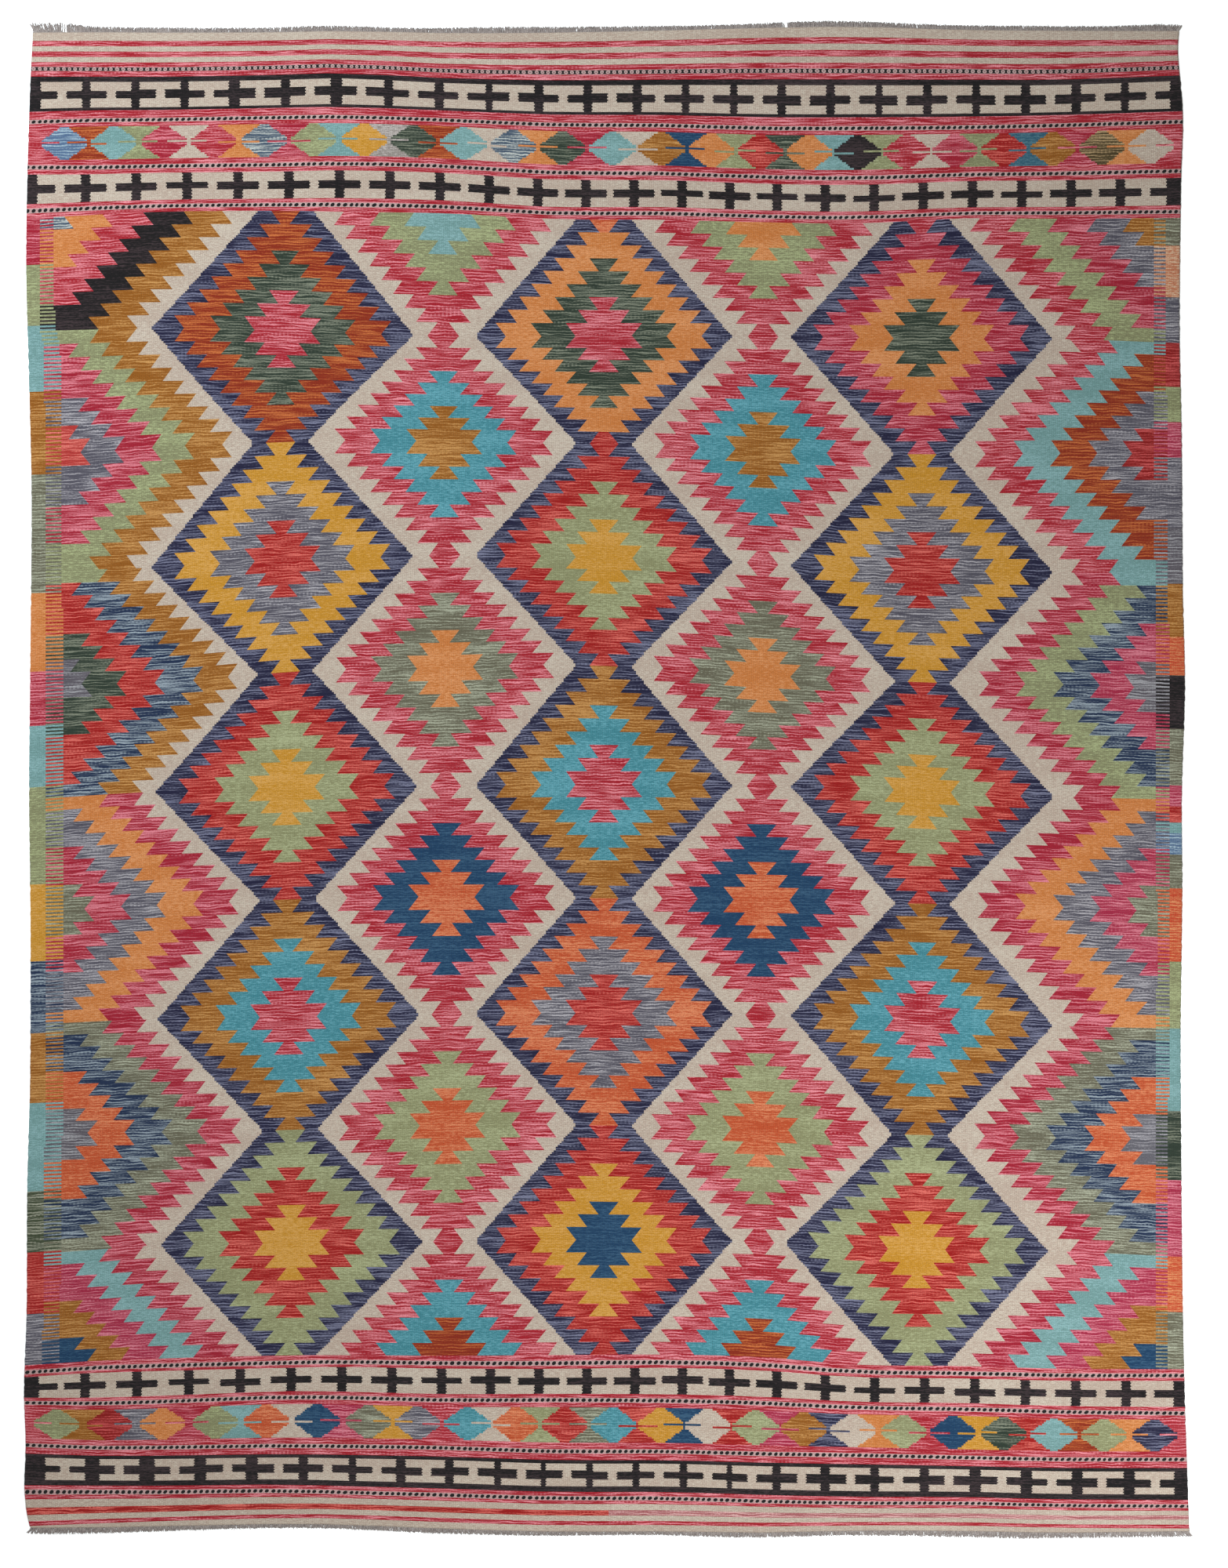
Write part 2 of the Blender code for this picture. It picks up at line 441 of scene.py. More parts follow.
class WoolBasket:
    """Makes the material of each yarn once, on one shared group of weave nodes."""

    def __init__(self) -> None:
        """Build the shared weave group."""
        self.made: dict[Yarn, bpy.types.Material] = {}
        self.weave = TapestryWeave().group()

    def material(self, yarn: Yarn) -> bpy.types.Material:
        """The material of a yarn, made when first asked for.

        Args:
            yarn: The yarn.

        Returns:
            Its material.
        """
        if yarn not in self.made:
            self.made[yarn] = self.wool(yarn)
        return self.made[yarn]

    def wool(self, yarn: Yarn) -> bpy.types.Material:
        """Make the material of a yarn: its colour, shaded and raised by the weave.

        Args:
            yarn: The yarn.

        Returns:
            The new material.
        """
        is_twined = isinstance(yarn.value, Twining)
        name = yarn.name.lower() + ("_black_and_white_wool" if is_twined else "_wool")
        # Wool's scales scatter light widely: no clear gloss, and a faint pale sheen at a slant.
        material, shader = start_material(name, {
            "Roughness": 0.92, "IOR": 1.45, "Specular IOR Level": 0.25, "Sheen Weight": 0.08,
            "Sheen Roughness": 0.6,
        })
        # A lot number of its own gives each yarn streaks of its own.
        lot = 0.5 if is_twined else 1.0 + 3.7 * list(Yarn).index(yarn)
        tree = material.node_tree
        add = partial(add_node, tree)
        shade, streak, height = add("Group", (lot, yarn.value.even), node_tree=self.weave).node.outputs
        # The weave's Shade is multiplied into the colour: painted shade in its grooves, and painted light
        # and the fibre's own tone on its hairs.
        shaded = add(
            "Mix", {0: 1.0, 6: yarn.value.base(tree, streak), 7: add("CombineColor", (shade,) * 3)},
            output=2, data_type="RGBA", blend_type="MULTIPLY",
        )
        bump = add("Bump", {"Height": height, "Strength": 0.7, "Distance": 1.0})
        tree.links.new(shaded, shader.inputs["Base Color"])
        tree.links.new(bump, shader.inputs["Normal"])
        return material


@dataclass(frozen=True)
class WarpWool:
    """Undyed grey warp wool, hard spun, a little paler and darker from strand to strand.

    Attributes:
        pale: The palest strands, as an sRGB hex value.
        deep: The deepest ones.
    """

    pale: str = "#B0A5A0"
    deep: str = "#8A7F7B"

    def material(self) -> bpy.types.Material:
        """Make its material.

        Returns:
            The new material.
        """
        values = {"Roughness": 0.9, "Specular IOR Level": 0.25, "Sheen Weight": 0.1}
        material, shader = start_material("grey_warp_wool", values)
        tree = material.node_tree
        add = partial(add_node, tree)
        place = add("TexCoord", output="Object")
        strand, fibre = (
            add("TexNoise", {"Vector": place, "Scale": scale, "Detail": 2.0}) for scale in (260.0, 1400.0)
        )
        strand_part, fibre_part = (
            add("Math", (part, amount), "MULTIPLY") for part, amount in ((strand, 0.6), (fibre, 0.4))
        )
        tone = add("Math", (strand_part, fibre_part), "ADD")
        spread = add("MapRange", (tone, 0.38, 0.62, 0.0, 1.0))
        ends = {6: colour(self.deep), 7: colour(self.pale)}
        base = add("Mix", {0: spread, **ends}, output=2, data_type="RGBA")
        bump = add("Bump", {"Height": fibre, "Strength": 0.5, "Distance": 0.3 * MM})
        tree.links.new(base, shader.inputs["Base Color"])
        tree.links.new(bump, shader.inputs["Normal"])
        return material


def link_object(name: str, data: bpy.types.ID) -> bpy.types.Object:
    """Put a mesh or curve in the scene as an object of this name.

    Args:
        name: Its name.
        data: The mesh or curve.

    Returns:
        The object.
    """
    made = bpy.data.objects.new(name, data)
    bpy.context.scene.collection.objects.link(made)
    return made


# ---------------------------------------------------------------- smooth lines


@dataclass(frozen=True)
class SmoothLine:
    """A smooth curve through a short list of places and values."""

    places: tuple[float, ...]
    values: tuple[float, ...]

    def slope(self, index: int) -> float:
        """Slope of the curve at one of its places.

        Args:
            index: Number of the place.

        Returns:
            Rise of the value for each mm.
        """
        before = max(index - 1, 0)
        after = min(index + 1, len(self.places) - 1)
        rise = self.values[after] - self.values[before]
        return rise / (self.places[after] - self.places[before])

    def at(self, place: float) -> float:
        """Value at any place, with the ends held past the last points.

        Args:
            place: The place.

        Returns:
            The value there.
        """
        place = min(max(place, self.places[0]), self.places[-1])
        index = min(max(bisect_right(self.places, place) - 1, 0), len(self.places) - 2)
        span = self.places[index + 1] - self.places[index]
        t = (place - self.places[index]) / span
        return (
            self.values[index] * (2 * t**3 - 3 * t**2 + 1)
            + self.slope(index) * span * (t**3 - 2 * t**2 + t)
            + self.values[index + 1] * (3 * t**2 - 2 * t**3)
            + self.slope(index + 1) * span * (t**3 - t**2)
        )


def smooth_line(*rows: tuple[float, float]) -> SmoothLine:
    """Make a smooth line from rows of (place, value)."""
    return SmoothLine(tuple(row[0] for row in rows), tuple(row[1] for row in rows))


# Selvedges, rows of (depth, place across). The warps drew in unevenly.
LEFT_SELVEDGE = smooth_line(
    (0, -998.0), (139, -1004.1), (394, -1009.7), (619, -1004.1), (804, -1000.2),
    (1113, -1002.9), (1314, -1004.4), (1548, -1002.1), (1827, -1002.9), (2017, -1007.8),
    (2226, -1008.9), (2364, -1013.4), (2472, -1010.5), (2556, -1012.3), (2605, -1002.0),
)
RIGHT_SELVEDGE = smooth_line(
    (0, 994.8), (42, 993.5), (149, 1001.9), (258, 998.9), (490, 996.2), (681, 999.7),
    (963, 1002.2), (1117, 1005.7), (1312, 1000.3), (1483, 1001.2), (1726, 998.1),
    (1872, 998.7), (2181, 1001.7), (2348, 1005.1), (2472, 1009.2), (2604, 1013.4),
)

# Places across the rug where the sag of each weft line below was read
STATIONS = (-1006, -905, -782, -560, -459, -282, -100, 104, 268, 434, 622, 786, 1000)


@dataclass(frozen=True)
class WeftLine:
    """One weft that can be followed across the rug, and how far it strays at each station.

    Attributes:
        name: Where the weft lies.
        depth: Its depth if the cloth were even.
        sag: How far it lies towards the far end, at each of STATIONS.
    """

    name: str
    depth: float
    sag: tuple[float, ...]


WEFT_LINES = (
    WeftLine("far edge", 0, (-2.8, -2.1, -2.8, -2.1, -0.1, -3.5, -2.9, 1.0, 5.4, 7.4, 2.0, 0.6, -0.1)),
    WeftLine("far twining 1", 67.5, (1, 0.5, 0, 3.5, 6.5, -2.5, -5.5, -4, -2.5, -3, -3.5, -4, 3.5)),
    WeftLine("far twining 2", 161, (1.5, 5, 6, 10, 11, 5.5, -2.5, -4, -9, -9, -7.5, -4, 2.5)),
    WeftLine("far twining 3", 243, (5, 4.5, 7, 9.5, 11.5, 7, -4, -6, -12, -14, -8, -6, -1.5)),
    WeftLine("far twining 4", 312, (-1.5, 3, 7, 9.5, 10, 6, -5, -5.5, -11, -13, -6, -5, -2.5)),
    WeftLine("field start", 323.3, (-3.5, 2, 8, 10, 8, 5.5, -4, -6, -10, -12, -3.5, -4, -2.5)),
    WeftLine(
        "equator 1", 522.7, (-0.5, 2.5, 5.5, 1.5, -3, -8.5, -8.5, -8.5, -9.5, -11.5, -12.5, -13.5, -21)
    ),
    WeftLine("tips 1", 722, (-15, -11, -3, 6.5, 9.5, 8, 5.5, 0.5, -7, -13.5, -14.5, -12.5, -14)),
    WeftLine("equator 2", 921.5, (-19, -16, -12, 1.5, 4, 9, 7.5, 2, -5.5, -16, -19.5, -21, -21.5)),
    WeftLine("tips 2", 1121, (-20, -16, -13, 5, 10, 13, 18, 11.5, -0.5, -8, -14.5, -16, -23)),
    WeftLine("equator 3", 1320.5, (-18.5, -10, -3.5, 3.5, 5.5, 6.5, 9, 9, 6, 3.5, -6, -12.5, -17)),
    WeftLine("tips 3", 1520, (-11.5, -8, -1, 8.5, 11.5, 13.5, 12, 9.5, 8, 3.5, 0, -4.5, -12.5)),
    WeftLine("equator 4", 1719, (-10, -4.5, 0, 4, 5.5, 8.5, 11.5, 10, 7, 4, -4.5, -12, -16.5)),
    WeftLine("tips 4", 1918.5, (-1.5, 1.5, 3, 6.5, 10.5, 15, 16, 12, 7.5, 0.5, -3.5, -6.5, -9.5)),
    WeftLine("equator 5", 2118, (-10.5, -3.5, 5.5, 10, 11.5, 12, 15.5, 14, 12, 1.5, -3, -5, -14.5)),
    WeftLine("field end", 2317.3, (-3.5, 3, 8, 13.5, 14, 13, 14, 15, 10.5, -2.5, -5, -9.5, -10.5)),
    WeftLine("near twining 1", 2329, (-5, 3, 7, 12, 14, 11.5, 11, 13, 8.5, -3.5, -6, -9.5, -9.5)),
    WeftLine("near twining 2", 2389.5, (3.5, 2, 5, 13.5, 12.5, 8, 8.5, 7, 3, -5, -7.5, -12.5, -15)),
    WeftLine("near twining 3", 2471.5, (12, 7.5, 7.5, 10.5, 9.5, 7, 1, 0.5, -3.5, -6, -10, -13, -13)),
    WeftLine("near twining 4", 2552, (11.5, 11.5, 11, 13, 10, 5.5, 0, -0.5, -5.5, -9, -9, -13, -14.5)),
    WeftLine(
        "red stripe", 2580.7, (-0.9, 2.1, 4.8, 9.7, 9.4, 3.7, -1.5, -1.7, -5.1, -5.2, -5.5, -8.9, -8.3)
    ),
    WeftLine("pink stripe", 2596.4, (-4.2, -0.4, 4.1, 10, 9, 2.7, -2.5, -2.3, -4.9, -3, -3.5, -7, -8.5)),
    WeftLine("near edge", 2608, (4.0, 4.0, 6.1, 10.2, 8.8, 2.0, -3.1, -2.8, -4.8, -1.4, -2.1, -4.8, -2.1)),
)


def weft_line(depth: float) -> SmoothLine:
    """How a weft at this depth runs: its y at any place across the rug.

    Args:
        depth: Its depth if the cloth were even.

    Returns:
        Its y by the place across.
    """
    depths = [line.depth for line in WEFT_LINES]
    index = min(max(bisect_right(depths, depth) - 1, 0), len(depths) - 2)
    before, after = WEFT_LINES[index], WEFT_LINES[index + 1]
    share = (depth - before.depth) / (after.depth - before.depth)
    heights = tuple(
        FAR_EDGE_Y - depth + start + (end - start) * share
        for start, end in zip(before.sag, after.sag)
    )
    return SmoothLine(STATIONS, heights)


# ---------------------------------------------------------------- courses of weft


Side = float | tuple[float, float]


def side_ends(side: Side) -> tuple[float, float]:
    """The far and near ends of a run's side. An upright one lies between two warps.

    Args:
        side: One place, or a pair of a far and a near one.

    Returns:
        The far and the near place.
    """
    if isinstance(side, tuple):
        return side
    upright = round(side / WARP) * WARP
    return upright, upright


@dataclass(frozen=True)
class Run:
    """Where one yarn begins in a course, at its far and near line, and the yarn."""

    far: float
    near: float
    yarn: Yarn

    @property
    def middle(self) -> float:
        """Where it begins half way through the course."""
        return (self.far + self.near) / 2


class Course:
    """One course of weft: a strip between two weft lines, cut into runs of yarn.

    Attributes:
        start: Depth of its far line.
        end: Depth of its near line.
        runs: Its runs from left to right.
        twine_middle: Depth of the middle of its twining, if it is a twined row.
    """

    def __init__(self, start: float, end: float, ground: Yarn) -> None:
        """Begin a course with one yarn from selvedge to selvedge.

        Args:
            start: Depth of its far line.
            end: Depth of its near line.
            ground: The yarn.
        """
        self.start = start
        self.end = end
        self.twine_middle = 0.0
        self.runs = [Run(-BEYOND_SELVEDGE, -BEYOND_SELVEDGE, ground)]

    def yarn_at(self, place: float) -> Yarn:
        """The yarn half way through the course at a place across."""
        return next(run.yarn for run in reversed(self.runs) if run.middle <= place or run is self.runs[0])

    def lay(self, left: Side, right: Side, yarn: Yarn) -> None:
        """Weave one yarn over a stretch of the course.

        Args:
            left: Where the stretch begins, in mm from the rug's middle. A pair gives a
                slanting side by its far and near ends.
            right: Where it ends.
            yarn: The yarn laid over what was there.
        """
        first = Run(*side_ends(left), yarn)
        end = side_ends(right)
        last = Run(*end, self.yarn_at(sum(end) / 2))
        if last.middle <= first.middle:
            return
        before = [
            Run(min(run.far, first.far), min(run.near, first.near), run.yarn)
            for run in self.runs if run.middle < first.middle
        ]
        after = [
            Run(max(run.far, last.far), max(run.near, last.near), run.yarn)
            for run in self.runs if run.middle > last.middle
        ]
        runs = [*before, first, last, *after]
        self.runs = [runs[0], *(run for left, run in pairwise(runs) if run.yarn is not left.yarn)]


@dataclass(frozen=True)
class Repeat:
    """Places of one motif repeated across the rug.

    Attributes:
        count: How many there are.
        spacing: Where a few of them lie, by number. The rest lie evenly between these, as
            the weaver's counting drifted.
    """

    count: int
    spacing: SmoothLine

    def places(self) -> list[float]:
        """Middle of each motif."""
        return [self.spacing.at(index) for index in range(self.count)]


def cuts(start: float, end: float, count: int) -> Iterator[tuple[float, float]]:
    """Yield the two ends of each of count equal parts of a stretch.

    Args:
        start: Where the stretch begins.
        end: Where it ends.
        count: Number of parts.

    Yields:
        The far and the near end of each part.
    """
    step = (end - start) / count
    for index in range(count):
        yield start + index * step, start + (index + 1) * step


@dataclass(frozen=True)
class JoinedStripe:
    """A stripe whose yarn ran out part of the way across and was joined to another.

    Attributes:
        yarn: Its yarn from the left selvedge.
        second: The yarn joined to it.
        joint: Where it was joined.
    """

    yarn: Yarn
    second: Yarn
    joint: float

    def courses(self, start: float, end: float) -> list[Course]:
        """Weave the stripe in one course of two yarns.

        Args:
            start: Depth of its far edge.
            end: Depth of its near edge.

        Returns:
            The course.
        """
        course = Course(start, end, self.yarn)
        course.lay(self.joint, BEYOND_SELVEDGE, self.second)
        return [course]


@dataclass(frozen=True)
class TwinedRow:
    """A row of black and white weft twining, seen as dark dots on a pale line.

    Attributes:
        yarn: TWINED, or BEADED where the white yarn stands out as round beads on the black.
    """

    yarn: Yarn = Yarn.TWINED

    def courses(self, start: float, end: float) -> list[Course]:
        """Weave the row in one course.

        Args:
            start: Depth of its far edge.
            end: Depth of its near edge.

        Returns:
            The course.
        """
        course = Course(start, end, self.yarn)
        course.twine_middle = (start + end) / 2
        return [course]


def upright(place: float, index: int) -> tuple[float, float]:
    """An upright edge in one course, a little serrated as the yarns turn round one warp."""
    place += SERRATION if index % 2 else -SERRATION
    return place, place


@dataclass(frozen=True)
class SpoolBand:
    """Beige spools, each two bars joined by a short stem, on a black ground.

    Attributes:
        spools: Middles of the spools.
        bar_width: Width of a spool's bars.
        bar_height: Their height.
        stem_width: Width of its stem.
        margins: Heights of the black edges past the bars, far and near.
        lean: How far a stem may stand to one side.
        waver: How far a bar's size may stray.
        seed: Seed for both.
    """

    spools: Repeat
    bar_width: float = 71.0
    bar_height: float = 16.0
    stem_width: float = 15.5
    margins: tuple[float, float] = (9.6, 5.2)
    lean: float = 2.0
    waver: float = 1.6
    seed: int = 5

    def courses(self, start: float, end: float) -> list[Course]:
        """Weave the band: black edge, bars, stems, bars, black edge.

        Args:
            start: Depth of its far edge.
            end: Depth of its near edge.

        Returns:
            Its courses.
        """
        rng = random.Random(self.seed)
        first, last = start + self.margins[0], end - self.margins[1]
        woven = [Course(start, first, Yarn.BLACK)]
        shapes = [
            (
                place, rng.choice((-self.lean, 0.0, self.lean)),
                [rng.uniform(-self.waver, self.waver) for _ in range(4)],
            )
            for place in self.spools.places()
        ]
        for index, (far, near) in enumerate(cuts(first, last, BAND_COURSES)):
            course = Course(far, near, Yarn.BLACK)
            middle = (far + near) / 2
            for place, lean, bars in shapes:
                in_stem = first + self.bar_height + bars[0] < middle < last - self.bar_height + bars[1]
                width = self.stem_width if in_stem else self.bar_width + bars[2]
                left = place - width / 2 + (lean if in_stem else bars[3])
                course.lay(upright(left, index), upright(left + width, index + 1), Yarn.BEIGE)
            woven.append(course)
        woven.append(Course(last, end, Yarn.BLACK))
        return woven


@dataclass(frozen=True)
class CrossBand:
    """Black crosses as tall as the band, on a beige ground.

    Attributes:
        crosses: Middles of the crosses.
        end_blocks: Inner edges of the black blocks beside the selvedges: the left one and
            its arm, the right one's arm and the right one.
        arm_width: From end to end of a cross's arms.
        arm_height: Their height.
        upright_width: Width of its upright.
        rise: How far its arms may lie off the band's middle.
        waver: How far their length may stray.
        seed: Seed for both.
    """

    crosses: Repeat
    end_blocks: tuple[float, float, float, float]
    arm_width: float = 72.0
    arm_height: float = 13.5
    upright_width: float = 16.5
    rise: float = 1.5
    waver: float = 1.8
    seed: int = 6

    def courses(self, start: float, end: float) -> list[Course]:
        """Weave the band.

        Args:
            start: Depth of its far edge.
            end: Depth of its near edge.

        Returns:
            Its courses.
        """
        rng = random.Random(self.seed)
        shapes = [
            (place, rng.uniform(-self.rise, self.rise), rng.uniform(-self.waver, self.waver))
            for place in self.crosses.places()
        ]
        block_end, block_arm, far_arm, far_block = self.end_blocks
        middle_depth = (start + end) / 2
        woven = []
        for index, (far, near) in enumerate(cuts(start, end, BAND_COURSES)):
            course = Course(far, near, Yarn.BEIGE)
            middle = (far + near) / 2
            for place, up, wide in shapes:
                in_arm = abs(middle - middle_depth - up) < self.arm_height / 2
                width = self.arm_width + wide if in_arm else self.upright_width
                left = place - width / 2
                course.lay(upright(left, index), upright(left + width, index), Yarn.BLACK)
            in_arm = abs(middle - middle_depth) < self.arm_height / 2
            course.lay(-BEYOND_SELVEDGE, upright(block_arm if in_arm else block_end, index), Yarn.BLACK)
            course.lay(upright(far_arm if in_arm else far_block, index), BEYOND_SELVEDGE, Yarn.BLACK)
            woven.append(course)
        return woven


@dataclass(frozen=True)
class LozengeBand:
    """A row of stepped lozenges, with hourglasses of other yarns between them.

    Attributes:
        lozenges: Middles of the lozenges.
        lozenge_yarns: Their yarns.
        hourglass_yarns: The yarns between them.
        tip_half_width: Half the width of a lozenge's tips.
        half_width: Half its width at the band's middle.
        steps: How many steps lead from tip to middle.
        fingers_height: How tall the fingers are that reach into it.
        fingers: How close to its middle the left and the right ones come.
        finger_waver: How far that may stray.
        seed: Seed for it.
    """

    lozenges: Repeat
    lozenge_yarns: tuple[Yarn, ...]
    hourglass_yarns: tuple[Yarn, ...]
    tip_half_width: float = 8.2
    half_width: float = 39.5
    steps: int = 8
    fingers_height: float = 6.4
    fingers: tuple[float, float] = (9.5, 8.0)
    finger_waver: float = 3.0
    seed: int = 7

    def lay_row(self, course: Course, half_width: float) -> None:
        """Lay one step of all the lozenges over their hourglasses.

        Args:
            course: The course.
            half_width: Half the width of a lozenge in it.
        """
        places = self.lozenges.places()
        for (left, right), yarn in zip(pairwise(places), self.hourglass_yarns):
            course.lay(left, right, yarn)
        for place, yarn in zip(places, self.lozenge_yarns):
            course.lay(place - half_width, place + half_width, yarn)

    def finger_courses(self, start: float, end: float) -> list[Course]:
        """The middle of the band, where the yarns on both sides reach into each lozenge.

        Args:
            start: Depth where it begins.
            end: Depth where it ends.

        Returns:
            Its two courses.
        """
        rng = random.Random(self.seed)
        beside = (Yarn.PINK, *self.hourglass_yarns, Yarn.PINK)
        courses = [Course(*part, Yarn.PINK) for part in cuts(start, end, 2)]
        for course in courses:
            self.lay_row(course, self.half_width)
        for index, place in enumerate(self.lozenges.places()):
            left, right = rng.choices(courses, k=2)
            strays = [rng.uniform(-self.finger_waver, self.finger_waver) for _ in range(2)]
            left.lay(place - self.half_width, place - self.fingers[0] + strays[0], beside[index])
            right.lay(place + self.fingers[1] + strays[1], place + self.half_width, beside[index + 1])
        return courses

    def stepped_courses(self, start: float, end: float, widths: Iterable[float]) -> list[Course]:
        """The steps between the lozenges' tips and their middles, by their half widths.

        Args:
            start: Depth where they begin.
            end: Depth where they end.
            widths: The half width at each step.

        Returns:
            One course for each step.
        """
        courses = [Course(*part, Yarn.PINK) for part in cuts(start, end, self.steps)]
        for course, width in zip(courses, widths):
            self.lay_row(course, width)
        return courses

    def courses(self, start: float, end: float) -> list[Course]:
        """Weave the band, from the lozenges' far tips to their near ones.

        Args:
            start: Depth of its far edge.
            end: Depth of its near edge.

        Returns:
            Its courses.
        """
        half = (end - start - self.fingers_height) / 2
        widths = [
            self.tip_half_width + (self.half_width - self.tip_half_width) * step / (self.steps - 1)
            for step in range(self.steps)
        ]
        far, near = start + half, start + half + self.fingers_height
        return [
            *self.stepped_courses(start, far, widths),
            *self.finger_courses(far, near),
            *self.stepped_courses(near, near + half, reversed(widths)),
        ]


# ---------------------------------------------------------------- the field


@dataclass(frozen=True)
class Rings:
    """Yarns of one stepped diamond.

    Attributes:
        outer: Of its outer ring.
        middle: Of its middle ring.
        heart: Of its heart.
        far_tip: Of its far tip, where that isn't the outer ring's.
        near_tip: Of its near tip.
    """

    outer: Yarn
    middle: Yarn
    heart: Yarn
    far_tip: Yarn | None = None
    near_tip: Yarn | None = None


@dataclass(frozen=True)
class SidePanel:
    """Chevrons beside one tip level: where each ends there, and its yarn.

    Attributes:
        yarns: Five yarns, from the beige ground towards the selvedge.
        reaches: Place across of each chevron's inner edge at the tip level.
    """

    yarns: tuple[Yarn, ...]
    reaches: tuple[float, ...]


@dataclass(frozen=True)
class Stretch:
    """The part of a tooth row that one course weaves.

    Attributes:
        row: The tooth row, from the field's far end.
        level: Which tip level of the large diamonds is nearest.
        far: How far through the row the course begins, from 0 to 1.
        near: How far through it ends.
        depth: Its middle's depth in the field.
    """

    row: int
    level: int
    far: float
    near: float
    depth: float


@dataclass(frozen=True)
class Teeth:
    """A serrated edge, which steps back in each tooth row and slants forward within it.

    Attributes:
        back: How much further back each row starts.
        tooth: How far it slants forward in the row.
        waver: How far a hand-woven tooth strays.
    """

    back: float
    tooth: float
    waver: float = 1.1

    def shift(self, stretch: Stretch, step: int, away: bool, place: float) -> tuple[float, float]:
        """Distances from the edge's place at the equator, at a course's far and near lines.

        Args:
            stretch: The course.
            step: Tooth rows from the motif's equator.
            away: Whether the row leads away from the equator as depth grows.
            place: Roughly where the edge is, which sets how it strays.

        Returns:
            Two distances, negative where the edge lies closer to the motif's middle.
        """
        root, tip = (
            self.waver * 2 * noise.noise(Vector((place / 13.7, stretch.row * 3.37, end)))
            for end in (0.4, 7.9)
        )
        shares = (stretch.far, stretch.near) if away else (1 - stretch.far, 1 - stretch.near)
        return tuple(
            self.tooth * share - self.back * step + root + (tip - root) * share for share in shares
        )


GOLD_DIAMOND = Rings(Y.GOLD, Y.GREY_BLUE, Y.RED)
RED_DIAMOND = Rings(Y.RED, Y.LIGHT_GREEN, Y.GOLD)
OCHRE_DIAMOND = Rings(Y.OCHRE, Y.TURQUOISE, Y.PINK)
GREEN_DIAMOND = Rings(Y.LIGHT_GREEN, Y.RED, Y.GOLD)

# Large diamonds in each of the three columns, at each equator
LARGE_DIAMONDS = (
    (
        Rings(Y.RUST, Y.DARK_GREEN, Y.PINK),
        Rings(Y.ORANGE, Y.DARK_GREEN, Y.PINK, far_tip=Y.CORAL, near_tip=Y.RED),
        Rings(Y.CRIMSON, Y.ORANGE, Y.DARK_GREEN, far_tip=Y.PINK),
    ),
    (GOLD_DIAMOND, RED_DIAMOND, GOLD_DIAMOND),
    (RED_DIAMOND, OCHRE_DIAMOND, RED_DIAMOND),
    (OCHRE_DIAMOND, Rings(Y.CORAL, Y.GREY_BLUE, Y.RED), OCHRE_DIAMOND),
    (GREEN_DIAMOND, Rings(Y.RED, Y.GOLD, Y.TEAL), GREEN_DIAMOND),
)

# Small diamonds between the columns of large ones, at each tip level
SMALL_DIAMONDS = (
    (Rings(Y.PINK, Y.GREEN, Y.LIGHT_TURQUOISE), Rings(Y.PINK, Y.GREEN, Y.ORANGE)),
    (Rings(Y.PINK, Y.TURQUOISE, Y.OCHRE),) * 2,
    (Rings(Y.PINK, Y.GREY_GREEN, Y.ORANGE),) * 2,
    (Rings(Y.PINK, Y.TEAL, Y.CORAL),) * 2,
    (Rings(Y.PINK, Y.LIGHT_GREEN, Y.CORAL),) * 2,
    (Rings(Y.PINK, Y.TURQUOISE, Y.RUST),) * 2,
)

LEFT_PANELS = (
    SidePanel((Y.OCHRE, Y.BLACK, Y.PINK, Y.ORANGE, Y.PALE_STEEL), (-668, -736, -806, -876, -943)),
    SidePanel((Y.OCHRE, Y.GREEN, Y.CRIMSON, Y.GREY_BLUE, Y.SALMON), (-669, -734, -791, -856, -915)),
    SidePanel((Y.OCHRE, Y.STEEL_BLUE, Y.RED, Y.DARK_GREEN, Y.GREY), (-659, -719, -786, -852, -913)),
    SidePanel((Y.CRIMSON, Y.ORANGE, Y.GREY_BLUE, Y.CRIMSON, Y.GREY_GREEN), (-657, -718, -783, -844, -908)),
    SidePanel((Y.CRIMSON, Y.GREY_GREEN, Y.STEEL_BLUE, Y.CORAL, Y.GREY), (-652, -712, -773, -838, -903)),
    SidePanel((Y.CRIMSON, Y.LIGHT_TURQUOISE, Y.ROSE, Y.OCHRE, Y.TEAL), (-656, -718, -779, -845, -904)),
)
RIGHT_PANELS = (
    SidePanel((Y.PINK, Y.GREEN, Y.CRIMSON, Y.GREY_BLUE, Y.OCHRE), (649, 715, 784, 851, 914)),
    SidePanel((Y.PINK, Y.LIGHT_TURQUOISE, Y.RUST, Y.GREY_BLUE, Y.DARK_RED), (658, 724, 789, 854, 913)),
    SidePanel((Y.CRIMSON, Y.GREEN, Y.STEEL_BLUE, Y.ROSE, Y.GREY), (664, 728, 794, 858, 917)),
    SidePanel((Y.CRIMSON, Y.ORANGE, Y.GREY_BLUE, Y.ROSE, Y.GREY_GREEN), (663, 728, 794, 858, 922)),
    SidePanel((Y.CRIMSON, Y.GREY_GREEN, Y.STEEL_BLUE, Y.CORAL, Y.VIOLET), (657, 717, 781, 847, 911)),
    SidePanel((Y.CRIMSON, Y.LIGHT_TURQUOISE, Y.ROSE, Y.OCHRE, Y.TEAL), (652, 715, 781, 844, 911)),
)

